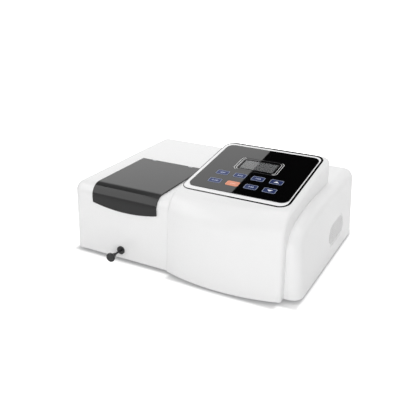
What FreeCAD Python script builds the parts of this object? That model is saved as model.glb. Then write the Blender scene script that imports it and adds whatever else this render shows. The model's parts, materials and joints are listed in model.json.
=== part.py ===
"""Scanning spectrophotometer, single beam, bench size, in millimetres.

X runs left to right seen from the front, Y runs from front to rear, Z is up. The origin lies on the bench
under the middle of the instrument's outer box. A distance named ..._DEEP is counted backwards from the plain
left part of the front face, and one named ..._HIGH is counted up from the bench.
"""

import FreeCAD
import Part
import math
import os

from FreeCAD import Placement, Rotation, Vector

X_AXIS = Vector(1, 0, 0)
Y_AXIS = Vector(0, 1, 0)
Z_AXIS = Vector(0, 0, 1)

# Housing, as a whole
HOUSING_WIDTH = 470.0
HOUSING_DEPTH = 338.0
SHELL_BOTTOM_HIGH = 7.0
DECK_HIGH = 146.5
WALL = 3.0
SIDE_DRAFT = 3.0
SIDE_ROUND = 20.0
FRONT_ROUND = 21.0
REAR_ROUND = 22.0
FAR = 60.0

# The clearance of what slides or drops in, and how far shapes that become one run into each other
SLIP = 0.1
BITE = 0.5

# Right shoulder of the housing, set back from the front and crowned
SHOULDER_SETBACK = 13.0
SHOULDER_ROUND = 40.0
SHOULDER_CROWN = 350.0
SHOULDER_LEVEL_DEEP = 134.0
BODY_JOINT_X = 90.0

# Raised console with its bowed front
CONSOLE_LEFT_X = -19.8
CONSOLE_RIGHT_X = 206.7
CONSOLE_DRAFT = 3.5
CONSOLE_LEAD = 2.0
CONSOLE_BOW = 17.5
CONSOLE_DEEP = 238.0
CONSOLE_SLOPE = 8.3
CONSOLE_FRONT_HIGH = 159.2
CONSOLE_FRONT_ROUND = 40.0
CONSOLE_CORNER_ROUND = 20.0
CONSOLE_EDGE_ROUND = 6.0

# Chassis, feet and screws
CHASSIS_GAP = 0.5
CHASSIS_THICK = 2.0
FOOT_FROM_SIDE = 40.0
FOOT_FRONT_DEEP = 45.0
FOOT_FROM_REAR = 38.0
FOOT_RADIUS = 11.0
FOOT_TAPER = 2.0
FOOT_SPIGOT_RADIUS = 3.0
FOOT_BARB = 0.8
FOOT_BARB_HEIGHT = 3.0
FOOT_HOLE_RADIUS = 3.1
BOSS_RADIUS = 5.0
BOSS_TOP_HIGH = 34.0
BOSS_FROM_WALL = 4.0
SIDE_BOSS_FRONT_DEEP = 60.0
SIDE_BOSS_FROM_REAR = 40.0
REAR_BOSS_X = 138.0
FRONT_BOSS_X = -30.0
SCREW_RADIUS = 1.5
SCREW_HEAD_RADIUS = 4.0
SCREW_HEAD_HEIGHT = 2.2
SCREW_LENGTH = 19.0
SCREW_HOLE_RADIUS = 1.55
CHASSIS_SCREW_HOLE_RADIUS = 2.0
BREATHER_COUNT = 6
BREATHER_LENGTH = 40.0
BREATHER_WIDTH = 3.0
BREATHER_PITCH = 9.0
BREATHER_X = 165.0
BREATHER_DEEP = 180.0

# Sample opening, its well and its lid
OPENING_LEFT_X = -170.0
OPENING_RIGHT_X = -44.0
OPENING_PAST_WELL = 6.0
NOTCH_BOTTOM_HIGH = 118.0
WELL_WALL = 3.0
WELL_LEFT_X = -162.0
WELL_RIGHT_X = -52.0
WELL_FRONT_DEEP = 15.0
WELL_FRONT_TOP_HIGH = 115.0
WELL_FLANGE_THICK = 2.4
WELL_FLANGE_REACH = 8.0
SEAT_GAP = 0.3
LID_LEFT_X = -178.0
LID_RIGHT_X = -36.3
LID_PAST_OPENING = 11.6
LID_LIFT = 0.6
LID_WALL = 2.4
LID_SIDE_HIGH = 114.5
LID_MIDDLE_HIGH = 106.3
LID_CORNER_ROUND = 3.0
LID_SKIRT_THICK = 1.6
LID_SKIRT_DROP = 2.9
LID_SKIRT_GAP = 1.0
LID_SKIRT_FRONT_DEEP = 24.0
BARREL_RADIUS = 3.2
BARREL_GAP = 0.5
TROUGH_RIB = 3.5
KNUCKLE_X_LEFT = -150.0
KNUCKLE_X_RIGHT = -64.0
KNUCKLE_WIDTH = 10.0
KNUCKLE_SIDE_GAP = 0.4
KNUCKLE_RADIUS = 3.0
BRACKET_LEG = 3.0
BRACKET_FOOT_LENGTH = 14.0
BRACKET_FOOT_THICK = 2.0
PIN_RADIUS = 1.25
PIN_CLEARANCE = 0.05
PIN_LENGTH = 30.0

# Beam and sample cells
BEAM_HIGH = 78.0
BEAM_PORT_RADIUS = 7.0
WINDOW_RADIUS = 9.0
WINDOW_THICK = 1.5
CELL_PITCH = 16.0
CELL_COUNT = 4
CELL_SLOT = 12.7
CELL_FLOOR_BELOW_BEAM = 15.0
HOLDER_WIDTH = 26.0
HOLDER_WALL = 5.0
HOLDER_FLOOR = 5.0
HOLDER_ABOVE_BEAM = 16.0
APERTURE_RADIUS = 4.0
SPRING_RECESS = 1.2
SPRING_RECESS_WIDTH = 8.0
SPRING_WIDTH = 7.0
SPRING_THICK = 0.4
SPRING_HEIGHT = 26.0

# Cell changer, its rails and its pull rod
RAIL_RADIUS = 3.0
RAIL_SPREAD = 26.0
RAIL_CLEARANCE = 0.05
ROD_RADIUS = 2.0
ROD_HIGH = 24.4
ROD_X = -120.8
ROD_SEAT = 10.0
ROD_REACH = 33.5
CARRIAGE_WIDTH = 66.0
CARRIAGE_END_GAP = 3.65
CARRIAGE_BOTTOM_HIGH = 14.0
CARRIAGE_TOP_HIGH = 34.0
COLUMN_WIDTH = 20.0
COLUMN_SETBACK = 6.0
NOTCH_DEPTH = 1.5
BLOCK_THICK = 7.0
BLOCK_WIDTH = 70.0
BLOCK_TOP_HIGH = 33.0
BLOCK_ROD_HOLE = 3.0
KNOB_RADIUS = 8.8
KNOB_FACE = 3.0
KNOB_THICK = 5.5
KNOB_ROUND = 1.6
KNOB_NECK_RADIUS = 5.5
KNOB_NECK_TIP_RADIUS = 3.0
KNOB_NECK_LENGTH = 11.0
BUSHING_RADIUS = 6.0
BUSHING_FLANGE_RADIUS = 8.0
BUSHING_FLANGE = 3.0
BUSHING_TAIL = 6.0
PLUNGER_BODY = 17.0
PLUNGER_WIDTH = 10.0
PLUNGER_RADIUS = 2.5
PLUNGER_GAP = 0.3

# Monochromator
MONO_LEFT_X = -44.0
MONO_RIGHT_X = 148.0
MONO_FRONT_DEEP = 38.0
MONO_REAR_DEEP = 222.0
MONO_TOP_HIGH = 112.0
MONO_WALL = 5.0
MONO_FLOOR = 8.0
MONO_COVER = 3.0
MONO_SCREW_RADIUS = 3.0
MONO_SCREW_HEIGHT = 2.5
SLIT_HOLE_RADIUS = 5.0
SLIT_PLATE_WIDTH = 22.0
SLIT_PLATE_HEIGHT = 12.0
SLIT_PLATE_THICK = 1.5
SLIT_WIDTH = 1.0
SLIT_HEIGHT = 8.0
MIRROR_RADIUS = 19.0
MIRROR_THICK = 8.0
MIRROR_CURVE = 340.0
MIRROR_X = 128.0
MIRROR_INSET = 10.0
MIRROR_TURN = 7.0
PEDESTAL_LENGTH = 34.0
TURRET_X = -2.0
TURRET_RADIUS = 15.0
TURRET_SHAFT_RADIUS = 4.0
TURRET_CLEARANCE = 0.05
TURRET_TABLE_HIGH = 32.0
TURRET_TABLE_THICK = 4.0
GRATING_SIZE = 30.0
GRATING_THICK = 6.0
GRATING_BACK = 5.0

# Grating drive
GEAR_MODULE = 1.0
SECTOR_TEETH = 72
SECTOR_KEPT = 23
PINION_TEETH = 18
ADDENDUM = 0.8
DEDENDUM = 1.1
TOOTH_PLAY = 0.12
PRESSURE_ANGLE = 20.0
GEAR_BOTTOM_HIGH = 20.0
GEAR_THICK = 6.0
GEAR_BORE = 6.0
COLLAR_WALL = 2.0
PINION_OVERHANG = 0.5
MOTOR_SIDE = 28.0
MOTOR_HEIGHT = 28.0
MOTOR_BOTTOM_HIGH = 30.0
MOTOR_CHAMFER = 4.0
MOTOR_PLATE = 2.0
MOTOR_POST = 3.0
MOTOR_SHAFT_RADIUS = 2.5
MOTOR_SHAFT_CLEARANCE = 0.05
MOTOR_SHAFT_SEAT = 8.0
MOTOR_PLATE_HOLE = 10.0

# Lamp, condenser and filter wheel
LAMP_HOUSE_LEFT_X = -150.0
LAMP_HOUSE_RIGHT_X = -88.0
LAMP_HOUSE_WIDTH = 46.0
LAMP_HOUSE_TOP_HIGH = 112.0
LAMP_HOUSE_WALL = 2.0
LAMP_HOUSE_FROM_WELL = 4.0
LAMP_X = -120.0
LAMP_RADIUS = 5.5
LAMP_HEIGHT = 26.0
LAMP_PINCH_WIDTH = 8.8
LAMP_POST_TOP_HIGH = 56.0
LAMP_POST_SIDE = 18.0
LAMP_SLOT_COUNT = 5
LAMP_SLOT_PITCH = 9.0
SNOUT_LENGTH = 14.0
SNOUT_RADIUS = 14.0
LENS_RADIUS = 12.0
LENS_EDGE = 3.0
LENS_BULGE = 2.5
WHEEL_X = -61.0
WHEEL_RADIUS = 22.0
WHEEL_THICK = 2.0
WHEEL_PITCH_RADIUS = 14.0
FILTER_COUNT = 6
FILTER_RADIUS = 5.0
WHEEL_HUB_RADIUS = 4.0
WHEEL_HUB_LENGTH = 3.0
WHEEL_SHAFT_RADIUS = 1.5
WHEEL_SHAFT_SEAT = 6.0
FILTER_MOTOR_RADIUS = 8.0
FILTER_MOTOR_GAP = 0.5

# Detector
DETECTOR_FROM_WALL = 4.5
DETECTOR_FROM_WELL = 3.0
DETECTOR_WIDTH = 46.0
DETECTOR_TOP_HIGH = 112.0
DETECTOR_WALL = 2.5
DETECTOR_PORT = 6.0
PHOTODIODE_RADIUS = 5.0
PHOTODIODE_LENGTH = 8.0
AMPLIFIER_SIDE = 12.0
AMPLIFIER_THICK = 2.0
AMPLIFIER_BELOW_BEAM = 30.0
BOARD_THICK = 1.6

# Boards and power supply
MAIN_BOARD_LEFT_X = -60.0
MAIN_BOARD_RIGHT_X = 120.0
MAIN_BOARD_FROM_MONO = 10.0
MAIN_BOARD_FROM_REAR = 7.0
STANDOFF_RADIUS = 3.0
STANDOFF_HEIGHT = 8.0
STANDOFF_INSET = 6.0
PROCESSOR_SIDE = 24.0
PROCESSOR_HEIGHT = 2.5
MEMORY_X = -45.0
MEMORY_Y = 10.0
MEMORY_LENGTH = 30.0
MEMORY_WIDTH = 12.0
MEMORY_HEIGHT = 3.5
RELAY_X = 45.0
RELAY_Y = -20.0
RELAY_SIDE = 16.0
RELAY_HEIGHT = 11.5
CAPACITOR_COUNT = 3
CAPACITOR_PITCH = 16.0
CAPACITOR_X = -60.0
CAPACITOR_Y = -26.0
CAPACITOR_RADIUS = 5.0
CAPACITOR_HEIGHT = 15.5
SUPPLY_WIDTH = 50.0
SUPPLY_FROM_FAN = 11.4
SUPPLY_FROM_MONO = 5.0
SUPPLY_FROM_FOOT = 2.0
SUPPLY_HEIGHT = 43.0
SUPPLY_SLOT_COUNT = 5
SUPPLY_SLOT_PITCH = 7.0
SUPPLY_SLOT_LENGTH = 30.0
SUPPLY_SLOT_WIDTH = 3.0
SUPPLY_SLOT_DEPTH = 2.0

# Side vent and fan
VENT_DEEP = 216.5
VENT_HIGH = 56.0
VENT_LENGTH = 93.0
VENT_HEIGHT = 46.0
VENT_FRAME = 3.0
VENT_GAP = 0.3
VENT_RECESS = 0.5
SLAT_COUNT = 8
SLAT_THICK = 1.6
SLAT_TILT = 35.0
FAN_SIDE = 60.0
FAN_THICK = 15.0
FAN_BORE = 27.5
FAN_CORNER = 4.0
FAN_HUB_RADIUS = 11.0
FAN_HUB_INSET = 1.0
FAN_TIP_RADIUS = 26.0
FAN_BLADE_COUNT = 7
FAN_BLADE_THICK = 1.4
FAN_BLADE_CHORD = 12.0
FAN_BLADE_PITCH = 38.0
FAN_SEAT_THICK = 3.0
FAN_STRUT = 4.0
FAN_AXLE_RADIUS = 1.5

# Rear panel, mains inlet and port
PANEL_FROM_SIDE = 30.0
PANEL_RIGHT_X = 60.0
PANEL_BOTTOM_HIGH = 17.0
PANEL_TOP_HIGH = 102.0
PANEL_LIP = 5.0
PANEL_THICK = 1.5
PANEL_GAP = 0.3
PANEL_SLOT_COUNT = 9
PANEL_SLOT_PITCH = 8.0
PANEL_SLOT_WIDTH = 3.0
PANEL_SLOT_HEIGHT = 40.0
PANEL_SLOT_X = -100.0
INLET_FROM_PANEL_LEFT = 40.0
INLET_HIGH = 62.0
INLET_WIDTH = 47.0
INLET_HEIGHT = 27.6
INLET_DEPTH = 30.0
INLET_FLANGE = 3.0
INLET_FLANGE_THICK = 2.0
SOCKET_WIDTH = 24.0
SOCKET_HEIGHT = 16.6
SOCKET_DEPTH = 18.0
SOCKET_FROM_LEFT = 14.0
SOCKET_CHAMFER = 4.0
BLADE_LENGTH = 13.0
BLADE_WIDTH = 2.0
BLADE_HEIGHT = 4.0
BLADE_SPREAD = 7.0
BLADE_RISE = 2.0
ROCKER_FROM_RIGHT = 8.5
ROCKER_WIDTH = 12.0
ROCKER_HEIGHT = 21.0
ROCKER_GAP = 0.3
ROCKER_DEPTH = 9.0
ROCKER_ROOM = 2.0
ROCKER_HEEL = 3.0
ROCKER_PIVOT_DEPTH = 5.0
ROCKER_TILT = 8.0
ROCKER_TRUNNION = 1.5
ROCKER_TRUNNION_SEAT = 1.0
ROCKER_CLEARANCE = 0.05
ROCKER_LIFT = 1.2
USB_X = 46.0
USB_WIDTH = 12.0
USB_HEIGHT = 10.8
USB_DEPTH = 16.0
USB_SHELL = 0.8
USB_TONGUE_WIDTH = 5.6
USB_TONGUE_HEIGHT = 3.2
USB_TONGUE_SETBACK = 1.0

# Console panel, on the slope
PANEL_U_LEFT = -8.0
PANEL_WIDTH = 204.4
PANEL_LENGTH = 200.8
PANEL_DEEP = 32.5
PANEL_CORNER = 20.0
POCKET_DEPTH = 1.5
LEDGE = 8.0
STRIP_LEFT = 1.0
STRIP_RIGHT = 4.0
STRIP_FRONT = 3.4
STRIP_REAR = 4.0
STRIP_CORNER = 16.0
STRIP_PROUD = 0.3
BEZEL_GAP = 0.1
OVERLAY_LEFT = 8.0
OVERLAY_RIGHT = 6.2
OVERLAY_FRONT = 14.3
OVERLAY_REAR = 11.2
OVERLAY_CORNER = 14.0
OVERLAY_THICK = 1.0
KEY_COLUMNS = (41.0, 76.2, 111.6, 147.1)
KEY_ROWS = (44.4, 75.8)
KEY_WIDTH = 24.4
KEY_LENGTH = 15.6
KEY_CORNER = 3.0
KEY_GAP = 0.3
KEY_PROUD = 0.2
KEY_FLANGE = 1.5
KEY_FLANGE_THICK = 1.2
KEY_FLANGE_GAP = 0.4
KEY_TRAVEL_GAP = 0.6
SWITCH_SIDE = 6.0
SWITCH_HEIGHT = 3.5
SWITCH_BUTTON = 3.5
SWITCH_BUTTON_HEIGHT = 1.5
KEYBOARD_MARGIN = 14.0
DISPLAY_U = 93.5
DISPLAY_V = 121.5
DISPLAY_FRAME_WIDTH = 85.0
DISPLAY_FRAME_LENGTH = 48.0
DISPLAY_FRAME_CHAMFER = 5.0
DISPLAY_WINDOW_GAP = 0.1
DISPLAY_WINDOW_SINK = 0.3
DISPLAY_WIDTH = 72.0
DISPLAY_LENGTH = 40.0
DISPLAY_GAP = 0.5
DISPLAY_SINK = 0.2
PILLAR_RADIUS = 3.0
PILLAR_INSET = 6.0

# Places worked out from the sizes above
KNOB_REACH = ROD_REACH + KNOB_FACE
ROCKER_LEAN = math.radians(ROCKER_TILT)
ROCKER_TIP = ROCKER_HEIGHT / 2.0 - 1.0
ROCKER_RISE = (ROCKER_PIVOT_DEPTH + ROCKER_LIFT) * math.cos(ROCKER_LEAN)
ROCKER_SWING = ROCKER_RISE + ROCKER_TIP * math.sin(ROCKER_LEAN)
REAR_REACH = INLET_FLANGE_THICK - ROCKER_PIVOT_DEPTH + ROCKER_SWING
FRONT_Y = KNOB_REACH - (HOUSING_DEPTH + KNOB_REACH + REAR_REACH) / 2.0
REAR_Y = FRONT_Y + HOUSING_DEPTH
MAIN_BOARD_FRONT_Y = FRONT_Y + MONO_REAR_DEEP + MAIN_BOARD_FROM_MONO
MAIN_BOARD_REAR_Y = REAR_Y - MAIN_BOARD_FROM_REAR
PANEL_LEFT_X = PANEL_FROM_SIDE - HOUSING_WIDTH / 2.0
INLET_X = PANEL_LEFT_X + INLET_FROM_PANEL_LEFT
CHASSIS_TOP = SHELL_BOTTOM_HIGH + CHASSIS_THICK
CEILING = DECK_HIGH - WALL
CELL_TRAVEL = (CELL_COUNT - 1) * CELL_PITCH
CELL_TO_BLOCK = CELL_SLOT / 2.0 + HOLDER_WALL + CARRIAGE_END_GAP + BLOCK_THICK
BEAM_DEEP = WELL_FRONT_DEEP + CELL_TO_BLOCK + CELL_TRAVEL
WELL_REAR_DEEP = BEAM_DEEP + CELL_TRAVEL + CELL_TO_BLOCK
OPENING_REAR_DEEP = WELL_REAR_DEEP + OPENING_PAST_WELL
LID_REAR_DEEP = OPENING_REAR_DEEP + LID_PAST_OPENING
SOURCE_DEEP = WELL_REAR_DEEP + WELL_WALL + LAMP_HOUSE_FROM_WELL + LAMP_HOUSE_WIDTH / 2.0
BEAM_Y = FRONT_Y + BEAM_DEEP
CELL_X = (WELL_LEFT_X + WELL_RIGHT_X) / 2.0
HOLDER_LENGTH = CELL_TRAVEL + CELL_SLOT + 2.0 * HOLDER_WALL
HOLDER_FRONT_Y = BEAM_Y - CELL_SLOT / 2.0 - HOLDER_WALL
HOLDER_BOTTOM = BEAM_HIGH - CELL_FLOOR_BELOW_BEAM - HOLDER_FLOOR
HOLDER_TOP = BEAM_HIGH + HOLDER_ABOVE_BEAM
WELL_FLOOR_TOP = CHASSIS_TOP + WELL_WALL
WELL_TOP = CEILING - SLIP
LID_TOP = DECK_HIGH + LID_LIFT + LID_WALL
HINGE_Y = FRONT_Y + LID_REAR_DEEP - BARREL_RADIUS
HINGE_Z = LID_TOP - BARREL_RADIUS
SOURCE_Y = FRONT_Y + SOURCE_DEEP
TURRET_Y = (BEAM_Y + SOURCE_Y) / 2.0
GEAR_DISTANCE = GEAR_MODULE * (SECTOR_TEETH + PINION_TEETH) / 2.0
PINION_X = TURRET_X + GEAR_DISTANCE
MONO_FLOOR_TOP = CHASSIS_TOP + MONO_FLOOR
WHEEL_Z = BEAM_HIGH - WHEEL_PITCH_RADIUS
HALF = 0.5
ROUND_MIDDLE = 1.0 - math.cos(math.radians(45.0))
TOUCH = 0.0001

PIECES = {}


def box(x, y, z):
    """A box from three (low, high) pairs."""
    return Part.makeBox(x[1] - x[0], y[1] - y[0], z[1] - z[0], Vector(x[0], y[0], z[0]))


def span(middle, size):
    """The (low, high) pair of a length set about its middle."""
    return (middle - size / 2.0, middle + size / 2.0)


def cylinder(base, axis, radius, length):
    return Part.makeCylinder(radius, length, base, axis)


def outline(place, start, *steps):
    """A flat face from points and arcs. A step of two numbers is a straight run to a point, and a step of
    four is an arc through its first point to its second one."""
    edges = []
    here = place(*start)
    for step in steps:
        there = place(*step[-2:])
        if len(step) == 2:
            edges.append(Part.makeLine(here, there))
        else:
            edges.append(Part.Arc(here, place(*step[:2]), there).toShape())
        here = there
    if (here - place(*start)).Length > TOUCH:
        edges.append(Part.makeLine(here, place(*start)))
    return Part.Face(Part.Wire(edges))


def across(x):
    """Places a (y, z) pair in the plane at x."""
    return lambda y, z: Vector(x, y, z)


def along(y):
    """Places an (x, z) pair in the plane at y."""
    return lambda x, z: Vector(x, y, z)


def level(z):
    """Places an (x, y) pair in the plane at z."""
    return lambda x, y: Vector(x, y, z)


def rounded_plate(x, y, z, radius):
    """A plate whose four upright corners are rounded."""
    plate = box(x, y, z)
    upright = [e for e in plate.Edges if abs(e.tangentAt(e.FirstParameter).z) > HALF]
    return plate.makeFillet(radius, upright)


def chamfered_plate(x, y, z, cut):
    """A plate whose four upright corners are cut off."""
    plate = box(x, y, z)
    upright = [e for e in plate.Edges if abs(e.tangentAt(e.FirstParameter).z) > HALF]
    return plate.makeChamfer(cut, upright)


def turned(profile, base, axis):
    """A solid of revolution. The profile is a list of (radius, distance along the axis) pairs."""
    points = [Vector(r, 0, h) for r, h in profile]
    face = Part.Face(Part.makePolygon(points + points[:1]))
    solid = face.revolve(Vector(0, 0, 0), Z_AXIS, 360.0)
    solid.Placement = Placement(base, Rotation(Z_AXIS, axis))
    return solid


def samples(edge):
    first = edge.FirstParameter
    length = edge.LastParameter - first
    return [edge.valueAt(first + share * length) for share in (0.0, HALF, 1.0)]


def joined(solids):
    return solids[0].multiFuse(solids[1:]).removeSplitter()


def half_width(z, inset):
    """Half the width of the drafted housing at height z, less an inset."""
    draft = math.radians(SIDE_DRAFT)
    return HOUSING_WIDTH / 2.0 - (z - SHELL_BOTTOM_HIGH) * math.tan(draft) - inset / math.cos(draft)


def bottom_of(inset):
    """Cavities run a little below the shell so that they open it."""
    return SHELL_BOTTOM_HIGH - (WALL if inset else 0.0)


def between_sides(inset):
    """The wedge between the two drafted side planes."""
    low = bottom_of(inset)
    high = DECK_HIGH + FAR
    face = outline(
        along(FRONT_Y - FAR),
        (-half_width(low, inset), low),
        (-half_width(high, inset), high),
        (half_width(high, inset), high),
        (half_width(low, inset), low),
    )
    return face.extrude(Y_AXIS * (HOUSING_DEPTH + 2.0 * FAR))


def side_rounded(solid, side, inset):
    """Rounds the whole run of edges where a drafted side plane meets the front, top and rear."""
    low = bottom_of(inset)

    def on_side(edge):
        points = samples(edge)
        flat = all(abs(p.z - low) < TOUCH for p in points)
        return not flat and all(abs(side * p.x - half_width(p.z, inset)) < TOUCH for p in points)

    return solid.makeFillet(SIDE_ROUND - inset, [e for e in solid.Edges if on_side(e)])


def left_body(inset):
    """The plain left part of the housing, with its rounded front and rear top edges."""
    low = bottom_of(inset)
    front = FRONT_Y + inset
    rear = REAR_Y - inset
    top = DECK_HIGH - inset
    front_round = FRONT_ROUND - inset
    rear_round = REAR_ROUND - inset
    face = outline(
        across(-HOUSING_WIDTH / 2.0),
        (front, low),
        (front, top - front_round),
        (front + ROUND_MIDDLE * front_round, top - ROUND_MIDDLE * front_round, front + front_round, top),
        (rear - rear_round, top),
        (rear - ROUND_MIDDLE * rear_round, top - ROUND_MIDDLE * rear_round, rear, top - rear_round),
        (rear, low),
    )
    solid = face.extrude(X_AXIS * (BODY_JOINT_X + HOUSING_WIDTH / 2.0))
    return side_rounded(solid.common(between_sides(inset)), -1, inset)


def shoulder_body(inset):
    """The right part of the housing: a tight round up from the front, then a long crown up to the deck."""
    low = bottom_of(inset)
    front = FRONT_Y + SHOULDER_SETBACK + inset
    rear = REAR_Y - inset
    top = DECK_HIGH - inset
    small = SHOULDER_ROUND - inset
    large = SHOULDER_CROWN - inset
    rear_round = REAR_ROUND - inset
    level_y = FRONT_Y + SHOULDER_LEVEL_DEEP
    large_z = top - large
    small_y = front + small
    small_z = large_z + math.sqrt((large - small) ** 2 - (level_y - small_y) ** 2)
    lean = math.atan2(small_z - large_z, small_y - level_y)
    small_half = (math.pi + lean) / 2.0
    large_half = (math.pi / 2.0 + lean) / 2.0
    face = outline(
        across(BODY_JOINT_X),
        (front, low),
        (front, small_z),
        (
            small_y + small * math.cos(small_half),
            small_z + small * math.sin(small_half),
            small_y + small * math.cos(lean),
            small_z + small * math.sin(lean),
        ),
        (level_y + large * math.cos(large_half), large_z + large * math.sin(large_half), level_y, top),
        (rear - rear_round, top),
        (rear - ROUND_MIDDLE * rear_round, top - ROUND_MIDDLE * rear_round, rear, top - rear_round),
        (rear, low),
    )
    solid = face.extrude(X_AXIS * (HOUSING_WIDTH / 2.0 - BODY_JOINT_X))
    return side_rounded(solid.common(between_sides(inset)), 1, inset)


def console_body(inset):
    """The raised console: a bowed front, a drafted left wall and a top that slopes up to the rear."""
    low = bottom_of(inset)
    high = CONSOLE_FRONT_HIGH + FAR + FAR
    middle_x = (CONSOLE_LEFT_X + CONSOLE_RIGHT_X) / 2.0
    half_span = (CONSOLE_RIGHT_X - CONSOLE_LEFT_X) / 2.0
    bow_radius = (half_span**2 + CONSOLE_BOW**2) / (2.0 * CONSOLE_BOW)
    bow_y = FRONT_Y - CONSOLE_LEAD - CONSOLE_BOW + bow_radius
    reach = bow_radius - inset
    draft = math.radians(CONSOLE_DRAFT)
    slope = math.radians(CONSOLE_SLOPE)
    left = CONSOLE_LEFT_X - FAR
    right = CONSOLE_RIGHT_X - inset
    rear = FRONT_Y + CONSOLE_DEEP - inset

    def bow(x):
        return bow_y - math.sqrt(reach**2 - (x - middle_x) ** 2)

    plan = outline(
        level(low),
        (left, bow(left)),
        (middle_x, bow(middle_x), right, bow(right)),
        (right, rear),
        (left, rear),
    )
    solid = plan.extrude(Z_AXIS * (high - low))

    def left_wall(z):
        return CONSOLE_LEFT_X + (z - SHELL_BOTTOM_HIGH) * math.tan(draft) + inset / math.cos(draft)

    def top(y):
        return CONSOLE_FRONT_HIGH + (y - FRONT_Y) * math.tan(slope) - inset / math.cos(slope)

    beside = outline(
        along(FRONT_Y - FAR),
        (left - FAR, low - FAR),
        (left_wall(low - FAR), low - FAR),
        (left_wall(high + FAR), high + FAR),
        (left - FAR, high + FAR),
    ).extrude(Y_AXIS * (HOUSING_DEPTH + FAR))
    above = outline(
        across(left - FAR),
        (FRONT_Y - FAR, top(FRONT_Y - FAR)),
        (REAR_Y, top(REAR_Y)),
        (REAR_Y, high + FAR),
        (FRONT_Y - FAR, high + FAR),
    ).extrude(X_AXIS * (HOUSING_WIDTH + FAR))
    solid = solid.cut(beside).cut(above)

    def on_rear_corner(edge):
        points = samples(edge)
        upright = abs(points[0].z - points[-1].z) > FAR
        return upright and all(abs(p.y - rear) < TOUCH for p in points)

    solid = solid.makeFillet(CONSOLE_CORNER_ROUND - inset, [e for e in solid.Edges if on_rear_corner(e)])

    def on_front_top(edge):
        points = samples(edge)
        on_top = all(abs(p.z - top(p.y)) < TOUCH for p in points)
        return on_top and all(abs(p.y - bow(p.x)) < TOUCH for p in points)

    solid = solid.makeFillet(CONSOLE_FRONT_ROUND - inset, [e for e in solid.Edges if on_front_top(e)])
    return solid.makeFillet(CONSOLE_EDGE_ROUND - inset, sharp_edges(solid, low))


def sharp_edges(solid, low):
    """The edges of a solid that still meet at an angle, apart from those at its bottom."""
    found = []
    for edge in solid.Edges:
        if all(abs(p.z - low) < TOUCH for p in samples(edge)):
            continue
        middle = samples(edge)[1]
        normals = []
        for face in solid.ancestorsOfType(edge, Part.Face):
            normals.append(face.normalAt(*face.Surface.parameter(middle)))
        if len(normals) == 2 and normals[0].getAngle(normals[1]) > math.radians(5.0):
            found.append(edge)
    return found


def housing_solid(inset):
    return joined([left_body(inset), shoulder_body(inset), console_body(inset)])


def on_slope(shape):
    """Carries a shape from the console panel's own axes to its place. There u runs along X, v up the slope
    and w out of the panel, from the point of the panel's front edge line at u = 0."""
    height = CONSOLE_FRONT_HIGH + PANEL_DEEP * math.tan(math.radians(CONSOLE_SLOPE))
    moved = shape.copy()
    moved.Placement = Placement(Vector(0, FRONT_Y + PANEL_DEEP, height), Rotation(X_AXIS, CONSOLE_SLOPE))
    return moved


def on_side_wall(shape):
    """Carries a shape from the right wall's own axes to its place. There x runs out of the wall, y along it
    and z up it, from the middle of the vent on the wall's outer face."""
    moved = shape.copy()
    middle = Vector(half_width(VENT_HIGH, 0.0), FRONT_Y + VENT_DEEP, VENT_HIGH)
    moved.Placement = Placement(middle, Rotation(Y_AXIS, -SIDE_DRAFT))
    return moved


def panel_plate(margins, w, corner):
    """A plate of the console panel's outline, less its left, right, front and rear margins, between two
    heights w."""
    left, right, front, rear = margins
    u = (PANEL_U_LEFT + left, PANEL_U_LEFT + PANEL_WIDTH - right)
    return rounded_plate(u, (front, PANEL_LENGTH - rear), w, corner)


def oval(length, height, x):
    """An oval plate in the right wall's axes, between two depths x."""
    radius = height / 2.0
    run = length / 2.0 - radius
    face = outline(
        across(x[0]),
        (-run, -radius),
        (-run - radius, 0.0, -run, radius),
        (run, radius),
        (run + radius, 0.0, run, -radius),
    )
    return face.extrude(X_AXIS * (x[1] - x[0]))


def boss_places():
    """The six upright screw bosses along the housing walls."""
    side = half_width(BOSS_TOP_HIGH, WALL) - BOSS_FROM_WALL
    front = FRONT_Y + SIDE_BOSS_FRONT_DEEP
    rear = REAR_Y - SIDE_BOSS_FROM_REAR
    return [
        (-side, front),
        (-side, rear),
        (side, front),
        (side, rear),
        (REAR_BOSS_X, REAR_Y - WALL - BOSS_FROM_WALL),
        (FRONT_BOSS_X, FRONT_Y + WALL + BOSS_FROM_WALL),
    ]


def foot_places():
    side = HOUSING_WIDTH / 2.0 - FOOT_FROM_SIDE
    rows = (FRONT_Y + FOOT_FRONT_DEEP, REAR_Y - FOOT_FROM_REAR)
    return [(x, y) for x in (-side, side) for y in rows]


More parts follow.
